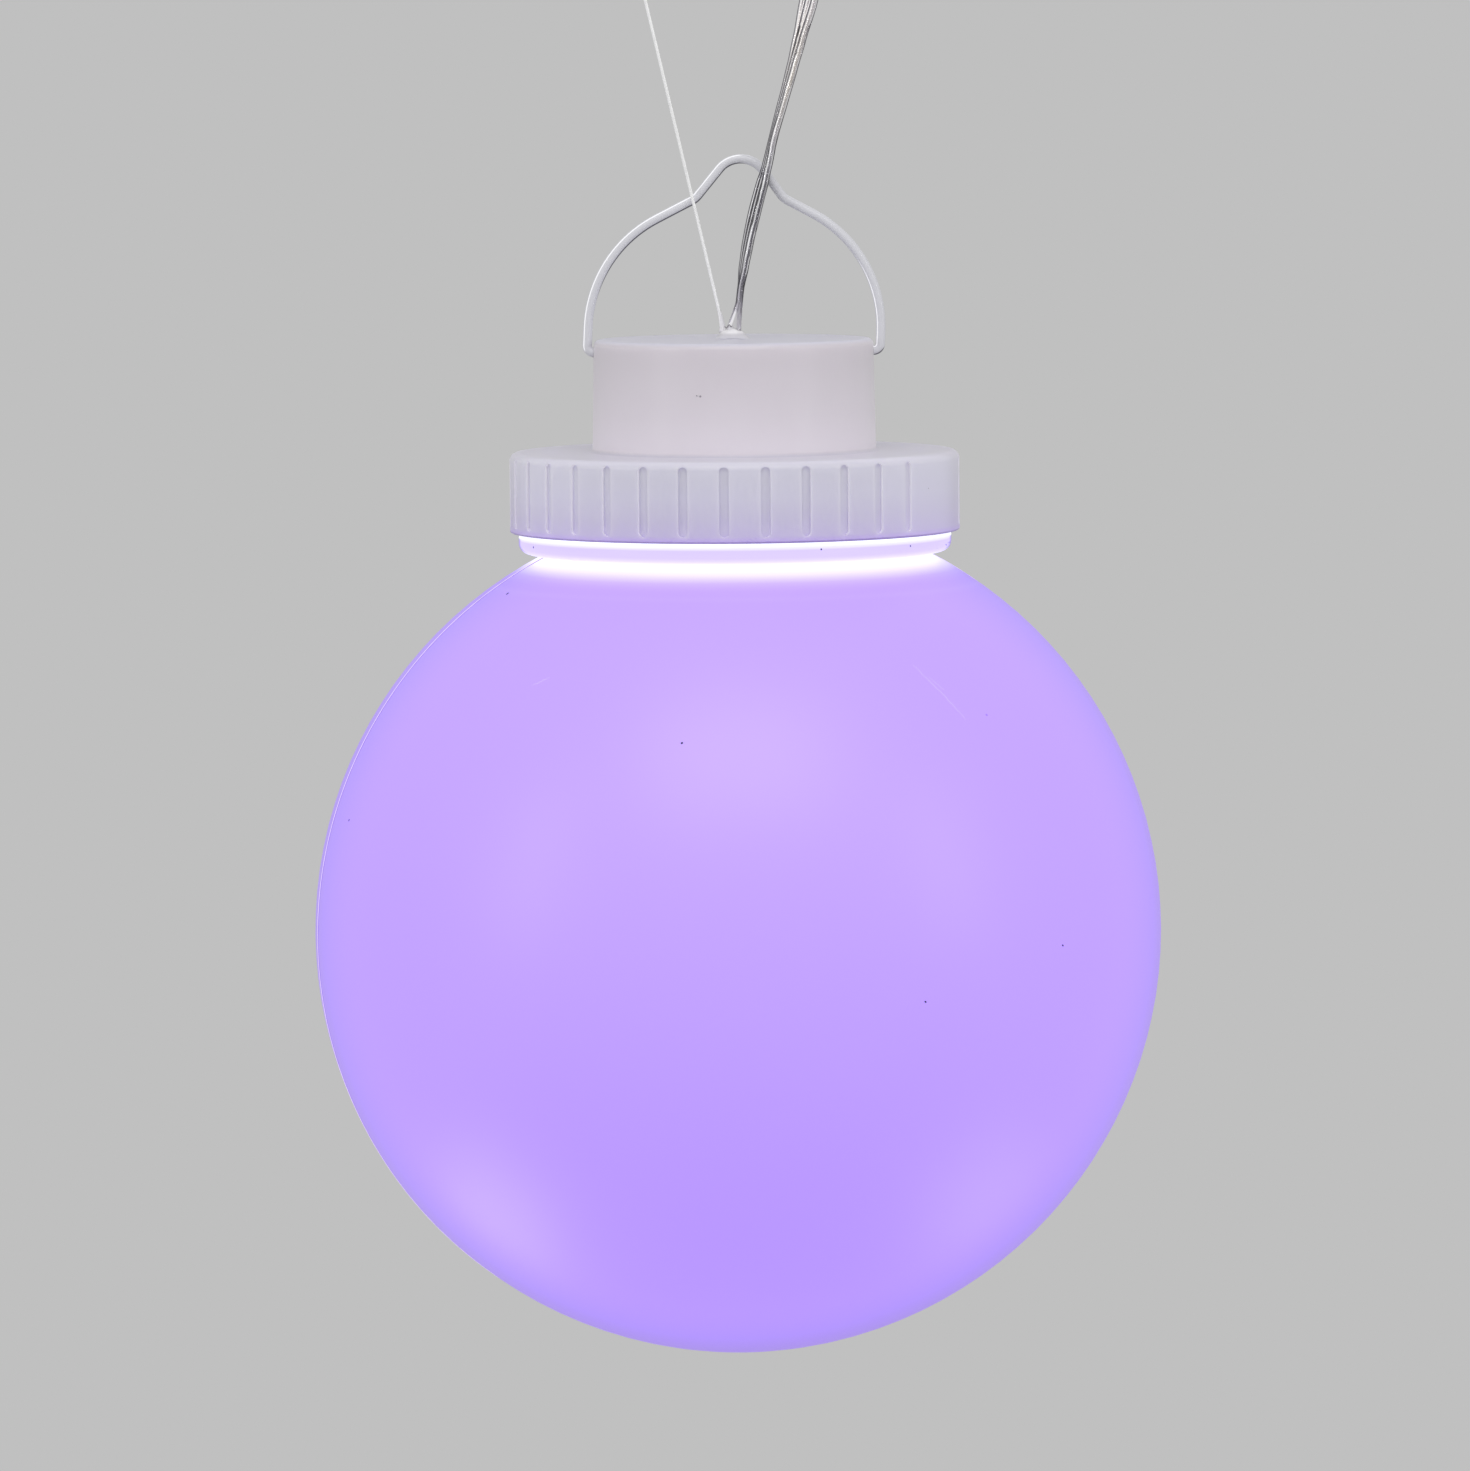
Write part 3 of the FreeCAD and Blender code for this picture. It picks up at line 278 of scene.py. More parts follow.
class BallLightSizes(bpy.types.PropertyGroup):
    cable_width: FloatProperty(
        name="Cable width", description="Across the flat cable's three cores",
        default=0.005, min=0.002, max=0.01, unit="LENGTH", subtype="DISTANCE")
    cable_thickness: FloatProperty(
        name="Cable thickness", description="Through one core and its jacket",
        default=0.0017, min=0.001, max=0.004, unit="LENGTH", subtype="DISTANCE")
    core_radius: FloatProperty(
        name="Core radius", description="Of the bundle of strands in each core",
        default=0.00027, min=0.0002, max=0.001, unit="LENGTH", subtype="DISTANCE")
    core_strands: IntProperty(
        name="Core strands", description="Strands that show round each core", default=6, min=3, max=12)
    line_width: FloatProperty(
        name="Line width", description="Of the twisted white line",
        default=0.00078, min=0.0004, max=0.002, unit="LENGTH", subtype="DISTANCE")
    seam_width: FloatProperty(
        name="Seam width", description="Of the ball's raised mould seam",
        default=0.0008, min=0.0002, max=0.002, unit="LENGTH", subtype="DISTANCE")
    seam_height: FloatProperty(
        name="Seam height", description="How far the mould seam stands off the ball",
        default=0.00012, min=0.00005, max=0.0005, unit="LENGTH", subtype="DISTANCE")


class BallLightColours(bpy.types.PropertyGroup):
    ball_glow: FloatVectorProperty(
        name="Ball glow", description="Light of the lit ball",
        default=tone(150, 108, 245), size=3, min=0, max=1, subtype="COLOR")
    ball_plastic: FloatVectorProperty(
        name="Ball plastic", description="Opal plastic under room light",
        default=tone(147, 138, 165), size=3, min=0, max=1, subtype="COLOR")
    neck_glow: FloatVectorProperty(
        name="Neck glow", description="Brightest light, next to the cap",
        default=tone(249, 255, 255), size=3, min=0, max=1, subtype="COLOR")
    bail_paint: FloatVectorProperty(
        name="Bail paint", description="Glossy white of the wire bail",
        default=tone(219, 219, 225), size=3, min=0, max=1, subtype="COLOR")


class BallLightStage(bpy.types.PropertyGroup):
    backdrop: FloatVectorProperty(
        name="Backdrop", description="Plain grey that the lamp hangs in front of",
        default=tone(192, 192, 192), size=3, min=0, max=1, subtype="COLOR")
    room_light: FloatProperty(
        name="Room light", description="Level of the even light from all round",
        default=0.57, min=0, max=2)
    key_power: FloatProperty(
        name="Key light", description="Power of the large light above the camera",
        default=11.5, min=0, max=100, unit="POWER")
    side_power: FloatProperty(
        name="Side lights", description="Power of each narrow upright light at the sides",
        default=3.0, min=0, max=100, unit="POWER")
    low_power: FloatProperty(
        name="Low lights", description="Power of the stronger of two small lights below the ball",
        default=0.42, min=0, max=10, unit="POWER")
    back_power: FloatProperty(
        name="Back light", description="Power of the light behind and above the lamp",
        default=1.5, min=0, max=100, unit="POWER")
    floor_drop: FloatProperty(
        name="Floor drop", description="From the ball's lowest point to the floor",
        default=0.5, min=0.05, max=3, unit="LENGTH", subtype="DISTANCE")


# ---- nodes


def set_inputs(tree, node, values):
    """Gives a node's inputs their values or links."""
    for key, value in values.items():
        if isinstance(value, bpy.types.NodeSocket):
            tree.links.new(value, node.inputs[key])
        else:
            node.inputs[key].default_value = value


def add_node(tree, kind, values=None, **settings):
    """A node with its settings, and values or links for its inputs."""
    node = tree.nodes.new(kind)
    for key, value in settings.items():
        setattr(node, key, value)
    set_inputs(tree, node, values or {})
    return node


def reckon(tree, operation, *values):
    """The result of a sum over numbers."""
    return add_node(tree, "ShaderNodeMath", dict(enumerate(values)), operation=operation).outputs[0]


def reckon_vector(tree, operation, *values):
    """The result of a sum over vectors or colours."""
    node = add_node(tree, "ShaderNodeVectorMath", dict(enumerate(values)), operation=operation)
    return node.outputs["Value" if operation in ("DOT_PRODUCT", "LENGTH") else "Vector"]


def scaled(tree, colour, amount):
    """A colour made brighter or darker."""
    values = {0: colour, "Scale": amount}
    return add_node(tree, "ShaderNodeVectorMath", values, operation="SCALE").outputs["Vector"]


def spread(tree, value, low, high):
    """A share of 0 to 1, laid out from low to high."""
    values = {"Value": value, "To Min": low, "To Max": high}
    return add_node(tree, "ShaderNodeMapRange", values).outputs["Result"]


def eased(tree, value, start, full, most=1.0):
    """Rises smoothly from 0 to most while a value goes from start to full."""
    values = {"Value": value, "From Min": start, "From Max": full, "To Max": most}
    node = add_node(tree, "ShaderNodeMapRange", values, interpolation_type="SMOOTHSTEP")
    return node.outputs["Result"]


def object_place(tree):
    """The place of a point on the lamp."""
    return add_node(tree, "ShaderNodeTexCoord").outputs["Object"]


def colour_by_height(tree, rows):
    """A colour read from rows of height in millimetres and colour."""
    low, high = rows[0][0], rows[-1][0]
    height = add_node(tree, "ShaderNodeSeparateXYZ", {0: object_place(tree)}).outputs["Z"]
    values = {"Value": height, "From Min": low * MM, "From Max": high * MM}
    share = add_node(tree, "ShaderNodeMapRange", values).outputs["Result"]
    ramp = add_node(tree, "ShaderNodeValToRGB", {0: share})
    stops = ramp.color_ramp.elements
    while len(stops) < len(rows):
        stops.new(0.5)
    for stop, (height, colour) in zip(stops, rows):
        stop.position = (height - low) / (high - low)
    for stop, (height, colour) in zip(stops, rows):
        stop.color = (*colour, 1.0)
    return ramp.outputs["Color"]


def coloured(tree, colour):
    """What a colour input takes: a link, rows by height, or a plain colour with its fourth value."""
    if isinstance(colour, bpy.types.NodeSocket):
        return colour
    return colour_by_height(tree, colour) if isinstance(colour, list) else (*tuple(colour)[:3], 1.0)


def blend_colour(tree, factor, first, second):
    """A mix of two colours by a factor."""
    values = {0: factor, 6: coloured(tree, first), 7: coloured(tree, second)}
    return add_node(tree, "ShaderNodeMix", values, data_type="RGBA").outputs[2]


def mix_shaders(tree, factor, first, second):
    """A mix of two shaders by a factor."""
    values = {0: factor, 1: first.outputs[0], 2: second.outputs[0]}
    return add_node(tree, "ShaderNodeMixShader", values).outputs[0]


def facing_edge(tree, start, full):
    """A share that grows towards the outline of a round piece."""
    facing = add_node(tree, "ShaderNodeLayerWeight", {"Blend": 0.5}).outputs["Facing"]
    return eased(tree, facing, start, full)


def facing_band(tree, start, full, fade, end):
    """A share that is full in a band between the middle and the outline of a round piece."""
    past = reckon(tree, "SUBTRACT", 1.0, facing_edge(tree, fade, end))
    return reckon(tree, "MULTIPLY", facing_edge(tree, start, full), past)


def looking(tree, side, start, full):
    """A share that grows the more the surface looks to this side."""
    way = add_node(tree, "ShaderNodeTexCoord").outputs["Normal"]
    return eased(tree, reckon_vector(tree, "DOT_PRODUCT", way, side), start, full)


# ---- shared effects


def new_group(name, inputs, outputs):
    """An empty shader group with its named sockets, its inputs' sockets and its end node."""
    made = bpy.data.node_groups.new(name, "ShaderNodeTree")

    def socket(title, side):
        kind = "NodeSocketColor" if "Color" in title else "NodeSocketFloat"
        return made.interface.new_socket(title, in_out=side, socket_type=kind)

    for title, value in inputs.items():
        socket(title, "INPUT").default_value = value
    for title in outputs:
        socket(title, "OUTPUT")
    return made, made.nodes.new("NodeGroupInput").outputs, made.nodes.new("NodeGroupOutput")


def build_moulded_skin():
    """Moulded plastic: faint clouds in its colour, and the slight waviness of its skin."""
    group, given, end = new_group(
        "Moulded skin",
        {"Color": (0.8, 0.8, 0.8, 1), "Cloud": 0.04, "Cloud Scale": 60.0, "Grain Scale": 900.0},
        ("Color", "Height"),
    )
    place = object_place(group)
    cloud = add_node(
        group, "ShaderNodeTexNoise",
        {"Vector": place, "Scale": given["Cloud Scale"], "Detail": 3.0, "Roughness": 0.55},
    )
    lift = reckon(group, "ADD", cloud.outputs["Fac"], -0.5)
    level = reckon(group, "ADD", reckon(group, "MULTIPLY", lift, given["Cloud"]), 1.0)
    grain = add_node(
        group, "ShaderNodeTexNoise", {"Vector": place, "Scale": given["Grain Scale"], "Detail": 2.0}
    )
    set_inputs(group, end, {
        "Color": scaled(group, given["Color"], level),
        "Height": grain.outputs["Fac"],
    })
    return group


def build_fine_specks():
    """Dust and inclusions: small round specks in a few of the cells of a loose pattern."""
    group, given, end = new_group(
        "Fine specks",
        {
            "Color": (0.8, 0.8, 0.8, 1), "Speck Color": (0.2, 0.2, 0.2, 1),
            "Scale": 150.0, "Size": 0.06, "Share": 0.05,
        },
        ("Color",),
    )
    cells = add_node(
        group, "ShaderNodeTexVoronoi", {"Vector": object_place(group), "Scale": given["Scale"]}
    )
    near = reckon(group, "LESS_THAN", cells.outputs["Distance"], given["Size"])
    pick = add_node(group, "ShaderNodeSeparateColor", {0: cells.outputs["Color"]}).outputs[0]
    mask = reckon(group, "MULTIPLY", near, reckon(group, "LESS_THAN", pick, given["Share"]))
    set_inputs(group, end, {"Color": blend_colour(group, mask, given["Color"], given["Speck Color"])})
    return group


def build_drawn_streaks():
    """Drawn or turned metal: fine streaks along the lamp's upright axis, for its gloss and relief."""
    group, given, end = new_group(
        "Drawn streaks", {"Scale": 900.0, "Low": 0.25, "High": 0.45}, ("Roughness", "Height")
    )
    stretched = reckon_vector(group, "MULTIPLY", object_place(group), (1.0, 1.0, 0.08))
    streak = add_node(
        group, "ShaderNodeTexNoise", {"Vector": stretched, "Scale": given["Scale"], "Detail": 2.0}
    ).outputs["Fac"]
    set_inputs(group, end, {
        "Roughness": spread(group, streak, given["Low"], given["High"]),
        "Height": streak,
    })
    return group


groups = {}


def place_group(tree, name, values):
    """The outputs of a shared effect in a material, with this material's own values."""
    node = tree.nodes.new("ShaderNodeGroup")
    node.node_tree = groups[name]
    set_inputs(tree, node, values)
    return node.outputs


def colour_with_specks(tree, shader, colour, speck_colour, scale, size, share):
    """Gives the shader its colour, with a few fine specks in it."""
    dust = place_group(tree, "Fine specks", {
        "Color": coloured(tree, colour), "Speck Color": coloured(tree, speck_colour),
        "Scale": scale, "Size": size, "Share": share,
    })
    set_inputs(tree, shader, {"Base Color": dust["Color"]})


def add_relief(tree, shader, height, depth):
    """Fine relief of the surface, this many metres deep."""
    bump = add_node(tree, "ShaderNodeBump", {"Height": height, "Strength": 1.0, "Distance": depth})
    set_inputs(tree, shader, {"Normal": bump.outputs["Normal"]})


# ---- materials


def skinned(name, plain, colour, cloud, scale, grain=900.0, relief=0.0):
    """A material with plain values and a moulded skin: also its tree, its shader and the skin's outputs."""
    made = bpy.data.materials.new(name)
    made.use_nodes = True
    tree = made.node_tree
    shader = tree.nodes["Principled BSDF"]
    skin = place_group(tree, "Moulded skin", {
        "Color": coloured(tree, colour), "Cloud": cloud, "Cloud Scale": scale, "Grain Scale": grain,
    })
    set_inputs(tree, shader, plain)
    if relief:
        add_relief(tree, shader, skin["Height"], relief)
    return made, tree, shader, skin


def moulded(name, colour, roughness, plain=None, cloud=0.05, cloud_scale=60.0, grain=900.0, relief=0.02 * MM,
            specks=(150.0, 0.05, 0.04), speck_colour=(0.2, 0.19, 0.2)):
    """A moulded plastic or rubber with faint clouds, a fine skin and a few specks."""
    plain = {"Roughness": roughness, **(plain or {})}
    made, tree, shader, skin = skinned(name, plain, colour, cloud, cloud_scale, grain, relief)
    colour_with_specks(tree, shader, skin["Color"], speck_colour, *specks)
    return made


def lit_plastic(name, light, cloud, scale, plain):
    """Plastic that glows with a clouded light, which is its base colour too unless plain has one."""
    made, tree, shader, skin = skinned(name, {"Emission Strength": 1.0}, light, cloud, scale)
    set_inputs(tree, shader, {"Base Color": skin["Color"], "Emission Color": skin["Color"], **plain})
    return made


def drawn_metal(name, colour, low, high, scale=900.0, light=None):
    """A drawn or turned metal with fine streaks in its gloss; colour and painted light can be rows by height.
    """
    made, tree, shader, skin = skinned(name, {"Metallic": 1.0}, colour, 0.16, 700.0)
    streaks = place_group(tree, "Drawn streaks", {"Scale": scale, "Low": low, "High": high})
    set_inputs(tree, shader, {"Base Color": skin["Color"], "Roughness": streaks["Roughness"]})
    if light:
        set_inputs(tree, shader, {"Emission Strength": 1.0, "Emission Color": colour_by_height(tree, light)})
    add_relief(tree, shader, streaks["Height"], 0.01 * MM)
    return made


def clear_plastic(name, tint, roughness, index):
    """A clear plastic with slight clouds in its gloss."""
    plain = {"IOR": index, "Transmission Weight": 1.0}
    made, tree, shader, skin = skinned(name, plain, tint, 0.06, 400.0, relief=0.01 * MM)
    gloss = spread(tree, skin["Height"], roughness * 0.6, roughness * 1.4)
    set_inputs(tree, shader, {"Base Color": skin["Color"], "Roughness": gloss})
    return made


def ball_material(colours):
    """Opal plastic lit from inside: violet over the ball, white next to the cap."""
    made, tree, shader, skin = skinned(
        "Lit opal plastic",
        {"Roughness": 0.42, "IOR": 1.45, "Specular IOR Level": 0.85, "Emission Strength": 1.0},
        colours.ball_glow, 0.05, 14.0, 260.0, 0.01 * MM,
    )
    middle = ball_center.z / MM

    def share(rows):
        """A share read from rows of height above the ball's middle."""
        return colour_by_height(tree, [(middle + height, (part,) * 3) for height, part in rows])

    violet, bead = skin["Color"], share(BEAD_PART)
    flank = reckon(tree, "MULTIPLY", facing_edge(tree, 0.55, 1.0), reckon(tree, "SUBTRACT", 1.0, bead))
    rimmed = blend_colour(tree, flank, violet, scaled(tree, violet, RIM_SHARE))
    glow = blend_colour(tree, share(BALL_GLOW), rimmed, colours.neck_glow)
    # Painted shade: the bead's light darkens towards its outline
    bead_edge_shade_share = reckon(tree, "MULTIPLY", facing_edge(tree, 0.84, 0.97), bead)
    edge_shaded = blend_colour(tree, bead_edge_shade_share, glow, BEAD_EDGE_SHADE)
    set_inputs(tree, shader, {"Emission Color": reckon_vector(tree, "MULTIPLY", edge_shaded, share(HIDDEN_DIM))})
    colour_with_specks(tree, shader, colours.ball_plastic, tone(90, 80, 120), 70.0, 0.022, 0.06)
    return made


def cap_material():
    """Milky plastic of the cap, with painted light and shade by height, and the ball's violet light painted
    in at its lower edge.
    """
    made, tree, shader, skin = skinned(
        "Cap plastic",
        {
            "Roughness": 0.36, "IOR": 1.49, "Emission Strength": 1.0, "Subsurface Weight": 0.9,
            "Subsurface Scale": 0.003, "Subsurface Radius": (1.0, 1.0, 1.0),
        },
        CAP_COLOUR_AND_PAINTED_LIGHT, 0.05, 45.0, 700.0, 0.015 * MM,
    )
    # The walls of the flutes look away from the axis less than the wall round them, and painted light makes
    # them pale there
    spot = add_node(tree, "ShaderNodeTexCoord").outputs
    out = reckon_vector(tree, "NORMALIZE", reckon_vector(tree, "MULTIPLY", spot["Object"], LEVEL))
    side = reckon_vector(tree, "MULTIPLY", spot["Normal"], LEVEL)
    outward = reckon(tree, "ABSOLUTE", reckon_vector(tree, "DOT_PRODUCT", out, side))
    aside = reckon(tree, "SUBTRACT", reckon_vector(tree, "LENGTH", side), outward)
    flute_light_share = eased(tree, aside, 0.03, 0.5, 0.45)
    lit_flute_walls = blend_colour(tree, flute_light_share, skin["Color"], FLUTE_PAINTED_TONE)
    colour_with_specks(tree, shader, lit_flute_walls, tone(150, 146, 152), 190.0, 0.05, 0.02)
    # Painted light on the collar's flanks, in a band between its middle and its outline
    flank = blend_colour(tree, facing_band(tree, 0.08, 0.45, 0.6, 0.8), UNLIT, FLANK_PAINTED_LIGHT)
    leak_and_painted_light = reckon_vector(tree, "ADD", colour_by_height(tree, CAP_PAINTED_LIGHT), flank)
    set_inputs(tree, shader, {"Emission Color": blend_colour(tree, flute_light_share, leak_and_painted_light, FLUTE_PAINTED_LIGHT)})
    return made


def bail_material(colours):
    """Glossy white paint on a wire, with painted shade on its lower right side and a painted highlight along
    its upper left.
    """
    made, tree, shader, skin = skinned(
        "Bail paint",
        {
            "Roughness": 0.36, "IOR": 1.5, "Coat Weight": 0.25, "Coat Roughness": 0.12,
            "Emission Strength": 1.0,
        },
        colours.bail_paint, 0.04, 120.0, 400.0, 0.003 * MM,
    )
    # Painted shade on the lower right side, and a painted highlight in a band along the upper left
    shaded_paint = blend_colour(tree, looking(tree, BAIL_SHADE_SIDE, 0.65, 0.78), skin["Color"], BAIL_UNDERSIDE_SHADE)
    band = facing_band(tree, 0.18, 0.26, 0.42, 0.52)
    line = reckon(tree, "MULTIPLY", band, looking(tree, BAIL_HIGHLIGHT_SIDE, 0.3, 0.45))
    set_inputs(tree, shader, {"Emission Color": blend_colour(tree, line, UNLIT, BAIL_HIGHLIGHT)})
    colour_with_specks(tree, shader, shaded_paint, tone(176, 176, 182), 260.0, 0.05, 0.01)
    return made


def jacket_material():
    """Clear soft plastic with painted dark outlines at its round edges, and a painted white highlight along
    each lobe.
    """
    made, tree, shader, skin = skinned(
        "Cable jacket", {"IOR": 1.4, "Transmission Weight": 1.0, "Emission Strength": 1.0},
        tone(252, 251, 254), 0.05, 400.0, relief=0.006 * MM,
    )
    edge_shaded = blend_colour(tree, facing_edge(tree, 0.27, 0.4), skin["Color"], JACKET_EDGE_SHADE)
    band = facing_band(tree, 0.01, 0.04, 0.15, 0.22)
    line = reckon(tree, "MULTIPLY", band, looking(tree, -RIGHT, 0.05, 0.18))
    # The painted highlight only on the side that faces out, not where the far wall is seen through the cable
    behind = add_node(tree, "ShaderNodeNewGeometry").outputs["Backfacing"]
    seen = reckon(tree, "MULTIPLY", line, reckon(tree, "SUBTRACT", 1.0, behind))
    set_inputs(tree, shader, {
        "Base Color": edge_shaded,
        "Emission Color": blend_colour(tree, seen, UNLIT, JACKET_HIGHLIGHT),
        "Roughness": spread(tree, skin["Height"], 0.03, 0.09),
    })
    return made


# ---- shapes


def even_points(points, gap):
    """Points at even gaps along a line of points."""
    lengths = [0.0]
    for before, after in zip(points, points[1:]):
        lengths.append(lengths[-1] + (after - before).length)
    count = max(2, round(lengths[-1] / gap))
    made, index = [], 0
    for step in range(count + 1):
        target = lengths[-1] * step / count
        while index < len(points) - 2 and lengths[index + 1] < target:
            index += 1
        span = lengths[index + 1] - lengths[index]
        made.append(points[index].lerp(points[index + 1], (target - lengths[index]) / span if span else 0))
    return made


def carried_frames(points, side):
    """At each point, two directions across the line, carried along it without a twist."""
    made, across = [], Vector(side)
    for index, point in enumerate(points):
        before = points[max(index - 1, 0)]
        after = points[min(index + 1, len(points) - 1)]
        along = (after - before).normalized()
        across = (across - along * across.dot(along)).normalized()
        made.append((across.copy(), along.cross(across)))
    return made


def between(table, value):
    """A value read from a table of pairs, eased between its rows."""
    if value <= table[0][0]:
        return table[0][1]
    for (low, first), (high, second) in zip(table, table[1:]):
        if value <= high:
            share = (value - low) / (high - low)
            return first + (second - first) * share * share * (3 - 2 * share)
    return table[-1][1]


def angles(count):
    """This many even angles, once round."""
    return [math.tau * side / count for side in range(count)]


def swung(angle, across=RIGHT, over=BACK):
    """One direction, turned by an angle towards another."""
    return across * math.cos(angle) + over * math.sin(angle)


def circle(middle, radius, sides, across=RIGHT, over=BACK):
    """Points round a middle, in the plane of two directions."""
    return [middle + swung(angle, across, over) * radius for angle in angles(sides)]


def loft(rings):
    """Vertices and faces of a skin over rings of points, with its ends filled."""
    size, count = len(rings[0]), len(rings)
    verts = [point for ring in rings for point in ring]
    faces = []
    for first in range(0, (count - 1) * size, size):
        for index in range(size):
            after = (index + 1) % size
            faces.append((first + index, first + after, first + size + after, first + size + index))
    faces.append(tuple(reversed(range(size))))
    faces.append(tuple(range((count - 1) * size, count * size)))
    return verts, faces


def joined(parts):
    """One list of vertices and faces from several."""
    verts, faces = [], []
    for part_verts, part_faces in parts:
        start = len(verts)
        verts.extend(part_verts)
        faces.extend(tuple(index + start for index in face) for face in part_faces)
    return verts, faces


def speck(base, out, size, draw):
    """A small low bump of uneven outline on a surface that looks outward here."""
    across = out.orthogonal().normalized()
    over = out.cross(across)
    stretch = draw.uniform(0.7, 1.3)
    wobble = [draw.uniform(0.8, 1.15) for side in range(SPECK_SIDES)]
    return loft([
        [
            base + out * rise * MM + swung(angle, across * stretch, over) * size * share * uneven
            for angle, uneven in zip(angles(SPECK_SIDES), wobble)
        ]
        for share, rise in SPECK_PROFILE
    ])


def wall_speck(place, size, draw):
    """A speck on a wall that looks away from the lamp's axis, with its place and radius in millimetres."""
    spot = Vector(place) * MM
    return speck(spot, Vector((spot.x, spot.y, 0)).normalized(), size * MM, draw)


def round_strand(points, frames, offset, turn_at, radius, sides):
    """A thin round strand that winds round a line, this far from it."""
    rings = []
    for index, (point, (across, over)) in enumerate(zip(points, frames)):
        middle = point + swung(turn_at(index), across, over) * offset
        rings.append(circle(middle, radius, sides, across, over))
    return loft(rings)


def twisted_strands(points, side, width, count, pitch, sides):
    """Strands laid round each other along a line, pressed together and as thick as width."""
    frames = carried_frames(points, side)
    radius = 1.15 * width / 2 / (1 + 1 / math.sin(math.pi / count))
    gap = (points[1] - points[0]).length
    return joined([
        round_strand(
            points, frames, width / 2 - radius,
            lambda index, start=start: start + math.tau * index * gap / pitch, radius, sides,
        )
        for start in angles(count)
    ])


# ---- pieces


def link(name, data):
    """A new object in the scene that carries this data."""
    made = bpy.data.objects.new(name, data)
    bpy.context.scene.collection.objects.link(made)
    return made


def smooth_line(name, route, steps):
    """Points of the smooth line that a cord's route draws."""
    data = bpy.data.curves.new(name, "CURVE")
    data.dimensions = "3D"
    data.resolution_u = steps
    spline = data.splines.new("NURBS")
    spline.points.add(len(route) - 1)
    for point, place in zip(spline.points, route):
        point.co = (*place, 1.0)
    spline.order_u = 3
    spline.use_endpoint_u = True
    carrier = link(name, data)
    drawn = bpy.data.meshes.new_from_object(carrier)
    points = [vert.co.copy() for vert in drawn.vertices]
    bpy.data.objects.remove(carrier)
    bpy.data.meshes.remove(drawn)
    bpy.data.curves.remove(data)
    return points


def mesh_piece(name, body, *finished):
    """A mesh that rides on a body of the lamp, made of shapes that each have a finish of their own."""
    verts, faces = joined([shape for shape, finish in finished])
    data = bpy.data.meshes.new(name)
    data.from_pydata([tuple(vert) for vert in verts], [], faces)
    mesh = bmesh.new()
    mesh.from_mesh(data)
    bmesh.ops.recalc_face_normals(mesh, faces=mesh.faces)
    mesh.to_mesh(data)
    mesh.free()
    owners = []
    for index, (shape, finish) in enumerate(finished):
        data.materials.append(finish)
        owners.extend([index] * len(shape[1]))
    for face, owner in zip(data.polygons, owners):
        face.use_smooth = True
        face.material_index = owner
    made = link(name, data)
    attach(made, body)
    return made


def dress(material, *nodes):
    """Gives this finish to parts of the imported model."""
    for name in nodes:
        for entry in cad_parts[name].material_slots:
            entry.material = material


